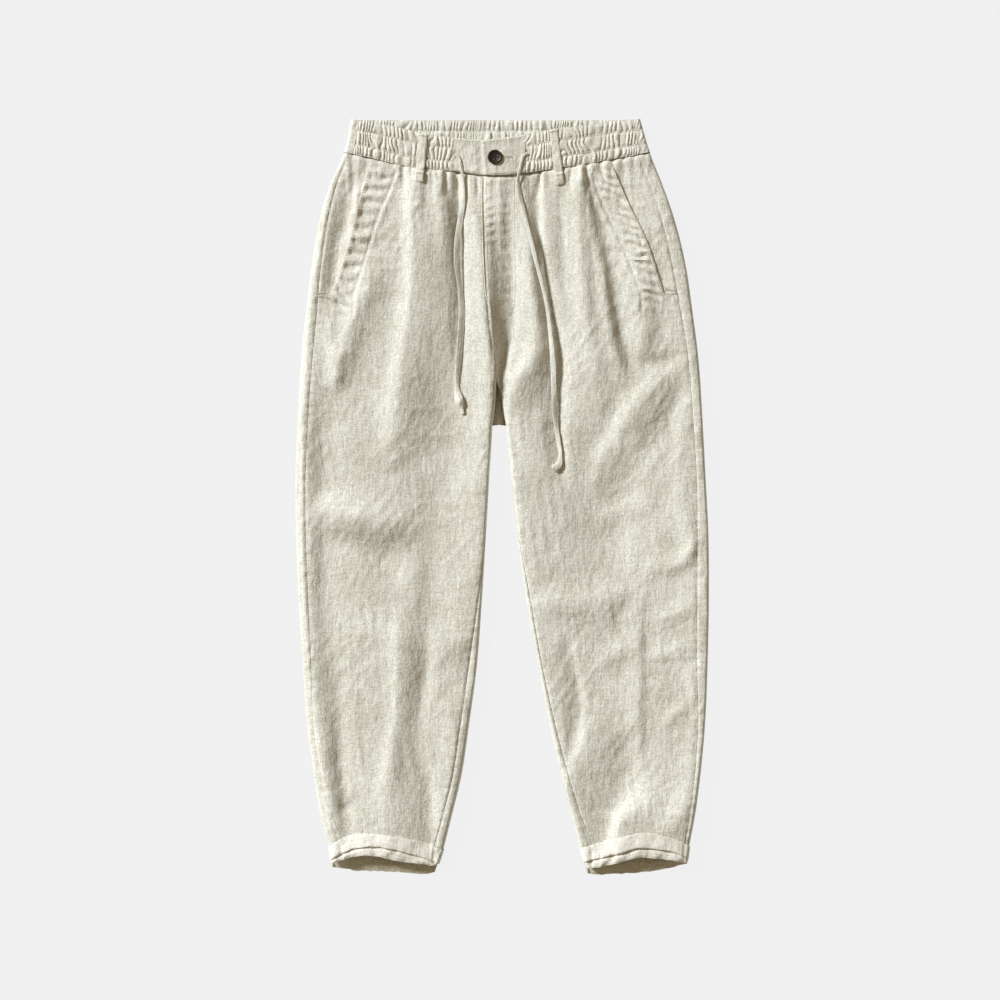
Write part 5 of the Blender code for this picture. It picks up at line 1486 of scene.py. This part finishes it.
# how far along the tape, its width there as a share
TAPE_WIDTHS = {
    "right": (
        (0, 0.8), (8, 0.5), (25, 0.45), (45, 0.55), (70, 0.95), (100, 1.1), (140, 1.05), (165, 0.8),
        (200, 1.15), (250, 1.15), (275, 0.9), (294, 0.6), (301, 1.15), (308, 1.6), (315, 1.45), (321, 0.75),
        (328, 0.55),
    ),
    "left": (
        (0, 0.45), (30, 0.5), (60, 0.75), (90, 0.6), (130, 0.75), (180, 0.6), (230, 0.7), (270, 0.95),
        (320, 1.0), (360, 0.75), (385, 0.6), (394, 1.1), (402, 1.45), (412, 1.5),
    ),
}


def tape(side):
    """A tape that lies on the cloth, and its path for the frame: a tube of 17 points above and 17 below."""
    places, middle, aside = along_route(STRINGS[side], 2.2)
    widths = np.array(TAPE_WIDTHS[side])
    half = TAPE_WIDTH / 2 * np.interp(places, widths[:, 0], widths[:, 1])
    under = resting(middle, aside, 3.0)
    # it turns on its length in long uneven waves, but not where it leaves the slit
    turned = np.sin(places / 31 + 1.5 * SIDE_SIGN[side] + 2 * np.sin(places / 57)) * ease(places, 8, 20)
    knot = TAPE_KNOTS[side] * bell(places - KNOT_AT[side], KNOT_LENGTH)
    section = np.linspace(-1, 1, 17)
    rows = []
    for sign in (1, -1):
        for w in section[::sign]:
            edge = 1 - abs(w) ** 5
            selvedge = 0.35 * bell(w - 0.55, 0.16) if sign > 0 else 0.0
            up = TAPE_THICKNESS * (0.5 + sign * 0.5 * edge) - selvedge + knot * (1 - w * w) * (sign > 0)
            height = under + SEAM / 2 + up + 0.4 * turned * w * half + 0.4 * np.abs(turned) * half
            rows.append(np.column_stack([middle + aside * (half * w)[:, None], height]))
    points = placed(*np.array(rows).transpose(2, 1, 0))
    count = 2 * len(section)
    index, faces = tube_faces(len(points), count)
    caps = []
    for ring, way in ((index[0], 1), (index[-1], -1)):
        for k in range(len(section) - 1):
            quad = [ring[k], ring[k + 1], ring[count - 2 - k], ring[count - 1 - k]]
            caps.append(quad[::way])
    faces = np.concatenate([faces, caps])
    made = finished(f"drawstring_tape_{side}", points.reshape(-1, 3), faces, tape_linen)
    path = placed(middle[:, 0], middle[:, 1], under + SEAM / 2 + TAPE_THICKNESS / 2)
    return made, path


for side in SIDE_SIGN:
    made, path = tape(side)
    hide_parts(f"drawstring_{side}")
    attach(made, "root")

# %% [markdown]
# ## Belt loops
# A belt loop is a strip folded in three, stitched along both edges, sewn at the band's top and turned under
# below the waist seam. It bridges from its upper end to its lower one, so it is a firm strap, not a ribbon.

# %% Loops
LOOPS = {"right": ((-92.5, 21), (-98, 81)), "left": ((69, 15.5), (77.5, 84))}  # upper end, lower end
LOOP_WIDTH = 10.6
LOOP_PRESSED = 1.1  # mm that a loop presses into the gathers under it
LOOP_TILT = {"right": 0.6, "left": 0.1}  # mm from its middle to its raised edge
LOOP_SEAM = 0.78  # share of the half width where its edges are stitched
LOOP_FOLD = 0.82  # share of the length where its turned end is stitched down


def belt_loop(side):
    """A loop that bridges the gathers, doubled at its turned lower end and drawn in along its stitches."""
    places, middle, aside = along_route(LOOPS[side], 1.2)
    under = resting(middle, aside, LOOP_WIDTH / 2)
    share = places / places[-1]
    tread = np.linspace(-1, 1, 21)
    aside_sign = 1 if aside[0][0] > 0 else -1
    outer, inner = [], []
    for m, a, support, s in zip(middle, aside, under, share):
        # thicker where it is turned under, lower over the waist seam and along its stitches
        doubled = 1.1 * ease(s, 0.775, 0.8) * (1 - 0.5 * ease(s, 0.97, 1.0))
        turned = 1 - 0.35 * (1 - float(ease(s, 0, 0.02)))
        edge = ease(1 - np.abs(tread), 0, 0.22)
        tilt = LOOP_TILT[side] * (1 - ease(s, 0.68, 0.8)) * (tread * aside_sign + 1)
        seam_line = bell(np.abs(tread) - LOOP_SEAM, 0.07)
        cross_line = bell(s - LOOP_FOLD, 0.008) + bell(s - 0.045, 0.01)
        over_seam = 0.9 * bell(s - 0.765, 0.022)
        up = (0.6 + 0.9 * edge) * turned + doubled - over_seam - 0.4 * (seam_line + cross_line)
        flat = m[None, :] + a[None, :] * (tread * LOOP_WIDTH / 2)[:, None]
        ripple = soft_noise(flat[:, 0] / 5 + 30, flat[:, 1] / 7) - 0.5 + tilt
        outer.append(np.column_stack([flat, support - LOOP_PRESSED + up + ripple]))
        inner.append(np.column_stack([flat, np.full(len(tread), support - LOOP_PRESSED)]))
    outer, inner = (placed(*np.moveaxis(np.array(grid), 2, 0)) for grid in (outer, inner))
    return wall(f"belt_loop_cloth_{side}", outer, inner, linen_band)


for side in SIDE_SIGN:
    key = f"belt_loop_{side}"
    cloth[key] = belt_loop(side)
    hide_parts(key)
bpy.context.view_layer.update()
graph = bpy.context.evaluated_depsgraph_get()
cloth_trees += [BVHTree.FromObject(cloth[f"belt_loop_{side}"], graph) for side in SIDE_SIGN]

# %% [markdown]
# ## Button
# The button is turned on a lathe: a dished face inside a raised, rounded rim, with four holes drilled
# through. Turning a profile round an axis is the same work here, and a cutter drills the holes.

# %% Turn and drill the button
BUTTON_PLACE = (-4.0, 50.0)  # across, drop
BUTTON_BASE = 7.0  # radius that it rests on
HOLE_PLACE, HOLE_ROUND = 1.9, 0.9  # mm from the middle to a hole, and a hole's radius
BUTTON_FACETS = 72
# radius, height
BUTTON_PROFILE = (
    (0.01, 0.0), (7.0, 0.0), (8.2, 0.45), (8.8, 1.0), (9.0, 1.7), (8.9, 2.2), (8.6, 2.6), (8.2, 2.88),
    (7.8, 3.0), (7.4, 2.96), (7.0, 2.8), (6.6, 2.5), (6.2, 2.2), (5.6, 1.98), (4.8, 1.88), (0.01, 1.8),
)
rim = [(BUTTON_BASE * math.cos(t), BUTTON_BASE * math.sin(t)) for t in np.linspace(0, 6, 13)]
button_rest = max(surface(BUTTON_PLACE[0] + x, BUTTON_PLACE[1] + d) for x, d in rim)
button_rest = max(button_rest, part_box("button")[0][2] / MM)
turn = np.linspace(0, 2 * math.pi, BUTTON_FACETS, endpoint=False)
rings = np.array(
    [
        placed(BUTTON_PLACE[0] + r * np.cos(turn), BUTTON_PLACE[1] + r * np.sin(turn), button_rest + h)
        for r, h in BUTTON_PROFILE
    ]
)
_, faces = tube_faces(len(rings), BUTTON_FACETS)
button = finished("button_horn", rings.reshape(-1, 3), faces, horn)
for k in range(4):
    angle = math.pi / 4 + k * math.pi / 2
    x, d = BUTTON_PLACE[0] + HOLE_PLACE * math.cos(angle), BUTTON_PLACE[1] + HOLE_PLACE * math.sin(angle)
    bpy.ops.mesh.primitive_cylinder_add(vertices=20, radius=HOLE_ROUND * MM, depth=12 * MM)
    drill = bpy.context.object
    drill.location = placed(x, d, button_rest)
    cut = button.modifiers.new("hole", "BOOLEAN")
    cut.operation, cut.solver, cut.object = "DIFFERENCE", "EXACT", drill
    bpy.context.view_layer.update()
    drilled = bpy.data.meshes.new_from_object(button.evaluated_get(bpy.context.evaluated_depsgraph_get()))
    button.modifiers.clear()
    button.data = drilled
    bpy.data.objects.remove(drill)
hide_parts("button")
print("button:", len(button.data.polygons), "faces, rests at", round(button_rest, 2), "mm")

# %% [markdown]
# ## Stitches
# A lockstitch shows as a short thread, a hair's space, and the next thread. Each one is a small capsule bent
# over the cloth from place to place. A row of stitches needs only its route, length and colour.

# %% Stitch rows
STITCH = 2.8  # mm
STITCH_SPACE = 0.9
THREAD_ROUND = 0.26  # mm; real thread is about 0.2, and this much shows
stitch_rows = {}


def add_stitches(name, points, stitch=STITCH, space=STITCH_SPACE, thick=THREAD_ROUND):
    """A row of stitches along a route on the cloth."""
    places, middle, aside = along_route(points, (stitch + space) / 4)
    stitch_rows.setdefault(name, [])
    for first in range(0, len(places) - 3, 4):
        part = middle[first : first + 4]
        heights = [surface(*p) for p in part]
        stitch_rows[name].append((part, heights, aside[first : first + 4], thick))


def sewn(name):
    """One object with all the stitches of a name, each a capsule of four rings of six points."""
    angles = np.linspace(0, 2 * math.pi, 6, endpoint=False)
    caps = [(r + a, r + b, r + c, r + d) for r in (0, 18) for a, b, c, d in ((0, 1, 2, 3), (0, 3, 4, 5))]
    capsule = np.concatenate([tube_faces(4, 6)[1], caps])
    grids = []
    for part, heights, aside, thick in stitch_rows[name]:
        size = thick * np.array([[0.45], [1.0], [1.0], [0.45]])
        rise = thick * np.array([0.0, 0.8, 0.8, 0.0])
        flat = part[:, None] + aside[:, None] * (size * np.cos(angles))[..., None]
        height = (heights + rise)[:, None] + size * np.sin(angles)
        grids.append(np.concatenate([flat, height[..., None]], axis=-1).reshape(-1, 3))
    points = placed(*np.concatenate(grids).T)
    faces = (capsule + 24 * np.arange(len(grids))[:, None, None]).reshape(-1, 4)
    made = finished(name, points, faces, dark_cotton if name == "button_thread" else cotton)
    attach(made, "root")
    print(name, len(stitch_rows[name]), "stitches")


def band_line(share, first, last, count=40):
    """A line along the front band at a share of its height."""
    across = np.linspace(first, last, count)
    return list(zip(across, on_front_band(across, share)))


# %% Sew the waistband, fronts, pockets, hems and loops
for side, first, last in (("right", -179, -56), ("left", 176, 36)):
    for share in CHANNEL_STITCHES + (0.965,):
        add_stitches(f"band_stitches_{side}", band_line(share, first, last))
for side, first, last in (("right", -52, -24), ("left", 33, -12)):
    for share in (0.06, 0.95):
        add_stitches(f"tab_stitches_{side}", band_line(share, first, last, 12))
shares = np.linspace(0.02, 0.86, 8)
free_edge = list(zip(-17.5 + FREE_SLANT * shares, on_front_band(-17.5, shares + 0.06)))
add_stitches("tab_stitches_left", free_edge)

FLY_STITCH = (
    ((-14.5, 76), (-14.5, 130), (-13, 180), (-9.5, 237), (-4.5, 290), (0.5, 340)),  # along its edge
    ((-3.5, 76), (-4, 100), (-3.2, 125), (-4.5, 150)),  # along the strip
    ((20, 76), (20.5, 150), (21.5, 200), (21, 225), (16, 243), (5, 254), (-7, 260)),  # round its curved end
)
for route in FLY_STITCH:
    add_stitches("fly_stitches", route)

# a bar tack at the lower end of each pocket: five close threads
BAR_TACKS = {"right": ((-223, 223), (-207.5, 226)), "left": ((221, 216.5), (207.5, 214))}
for side in SIDE_SIGN:
    name = f"pocket_stitches_{side}"
    for inset in (4.2, 1.6):
        drops = np.linspace(60, 217, 24)
        add_stitches(name, list(zip(pocket_mouth[side](drops) - inset * SIDE_SIGN[side], drops)))
    start, end = BAR_TACKS[side]
    for step in np.linspace(-1.2, 1.2, 5):
        add_stitches(name, [(start[0], start[1] + step), (end[0], end[1] + step)], 1.6, 0.1)

for side in SIDE_SIGN:
    # one row a little under the roll's end, clear of both folded edges
    outer_edge, inner_edge = cuff_edges(side, 0.4)
    ends = np.linspace(outer_edge - 8 * SIDE_SIGN[side], inner_edge + 8 * SIDE_SIGN[side], 30)
    lip_line = [(x, float(HEM_CURVES[side][HEM_ROLL](hem_share(side, np.float64(x))) + 5.5)) for x in ends]
    add_stitches(f"hem_stitches_{side}", lip_line)

# both edges of each loop, and bars at its upper end and where its lower end is turned under
for side, (start, end) in LOOPS.items():
    start, end = np.array(start, float), np.array(end, float)
    run = (end - start) / np.linalg.norm(end - start)
    aside = np.array([run[1], -run[0]])
    for edge in (-LOOP_SEAM, LOOP_SEAM):
        shift = aside * edge * LOOP_WIDTH / 2
        add_stitches(f"loop_stitches_{side}", [start + run * 1.5 + shift, end - run * 1.5 + shift])
    long = np.linalg.norm(end - start)
    for along in (2.2, 3.0, long * LOOP_FOLD, long * (LOOP_FOLD + 0.015)):
        at = start + run * along
        add_stitches(f"loop_stitches_{side}", [at - aside * 5.2, at + aside * 5.2], 1.4, 0.1, 0.34)

# %% [markdown]
# ## Buttonhole and slits
# A buttonhole is edged with closely set stitches at right angles to its slit, and ends in a bar. The slits
# for the drawstring are sewn the same way, upright.

# %% Edge stitching of the openings
LIP = (0.35, 2.0)  # mm from the slit's middle to both ends of a stitch


def edged_slit(name, centre, direction, length):
    """Close stitches across both lips of a slit, and a bar at each end."""
    direction = np.array(direction, float)
    aside = np.array([direction[1], -direction[0]])
    for step in np.arange(-length / 2, length / 2 + 0.1, 0.55):
        at = np.array(centre) + direction * step
        for lip in (-1, 1):
            add_stitches(name, [at + aside * lip * reach for reach in LIP], 1.5, 0.05, 0.3)
    for end in (-1, 1):
        for step in (0.0, 0.5, 1.0):
            at = np.array(centre) + direction * end * (length / 2 + step)
            add_stitches(name, [at - aside * LIP[1], at + aside * LIP[1]], 3.6, 0.1, 0.3)


edged_slit("buttonhole_stitches", (11.0, 49.5), (1.0, 0.05), 10.5)
for side, (x, d) in EYELETS.items():
    edged_slit(f"slit_stitches_{side}", (x + (1.2 if side == "right" else -1.0), d), (0.0, 1.0), 8.0)

# two bars of thread across the button's face, each of two strands that dive into a hole at both ends
thread_top = button_rest + 1.85
heights = [thread_top - 0.5, thread_top, thread_top, thread_top - 0.5]
stitch_rows["button_thread"] = []
for bar in (-1.4, 1.4):
    for strand in (-0.35, 0.35):
        x, d = BUTTON_PLACE[0] - 1.4 + strand, BUTTON_PLACE[1] + bar
        part = np.array([(x, d), (x + 0.9, d + 0.05), (x + 1.9, d + 0.05), (x + 2.8, d)])
        stitch_rows["button_thread"].append((part, heights, np.array([(0.0, 1.0)] * 4), 0.3))
for name in stitch_rows:
    sewn(name)

# %% [markdown]
# ## Cuts, bodies and sizes
# The CUTS table lists the size each cloth piece was cut to before it was sewn, but nothing from it is
# recorded on the pieces. The trousers have no joints, so all of it rides on the one body.

# %% Read the cut table and attach every piece to the body
# node kind: cut width and length in metres, share of that rectangle, how it is held, what it lies on
CUTS = {
    "front": ((0.265, 0.89), 0.82, "laid", ("back",)),
    "back": ((0.30, 0.90), 0.83, "laid", ()),
    "pocket_facing": ((0.085, 0.18), 0.62, "laid", ("front",)),
    "waistband_front": ((0.17, 0.048), 1.0, "gathered", ("waistband_back",)),
    "waistband_centre": ((0.067, 0.048), 0.95, "laid", ("waistband_back",)),
    "cuff_front": ((0.15, 0.05), 0.75, "folded", ("front",)),
    "cuff_back": ((0.15, 0.045), 0.75, "folded", ()),
    "belt_loop": ((0.012, 0.075), 1.0, "laid", ("waistband_front",)),
    "waistband_back": ((0.52, 0.048), 1.0, "gathered", ()),
}
for key, piece in cloth.items():
    kind, _, side = key.rpartition("_") if key != "waistband_back" else (key, "", "")
    flat, share, held, rests = CUTS[kind]
    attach(piece, "root")
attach(button, "root")
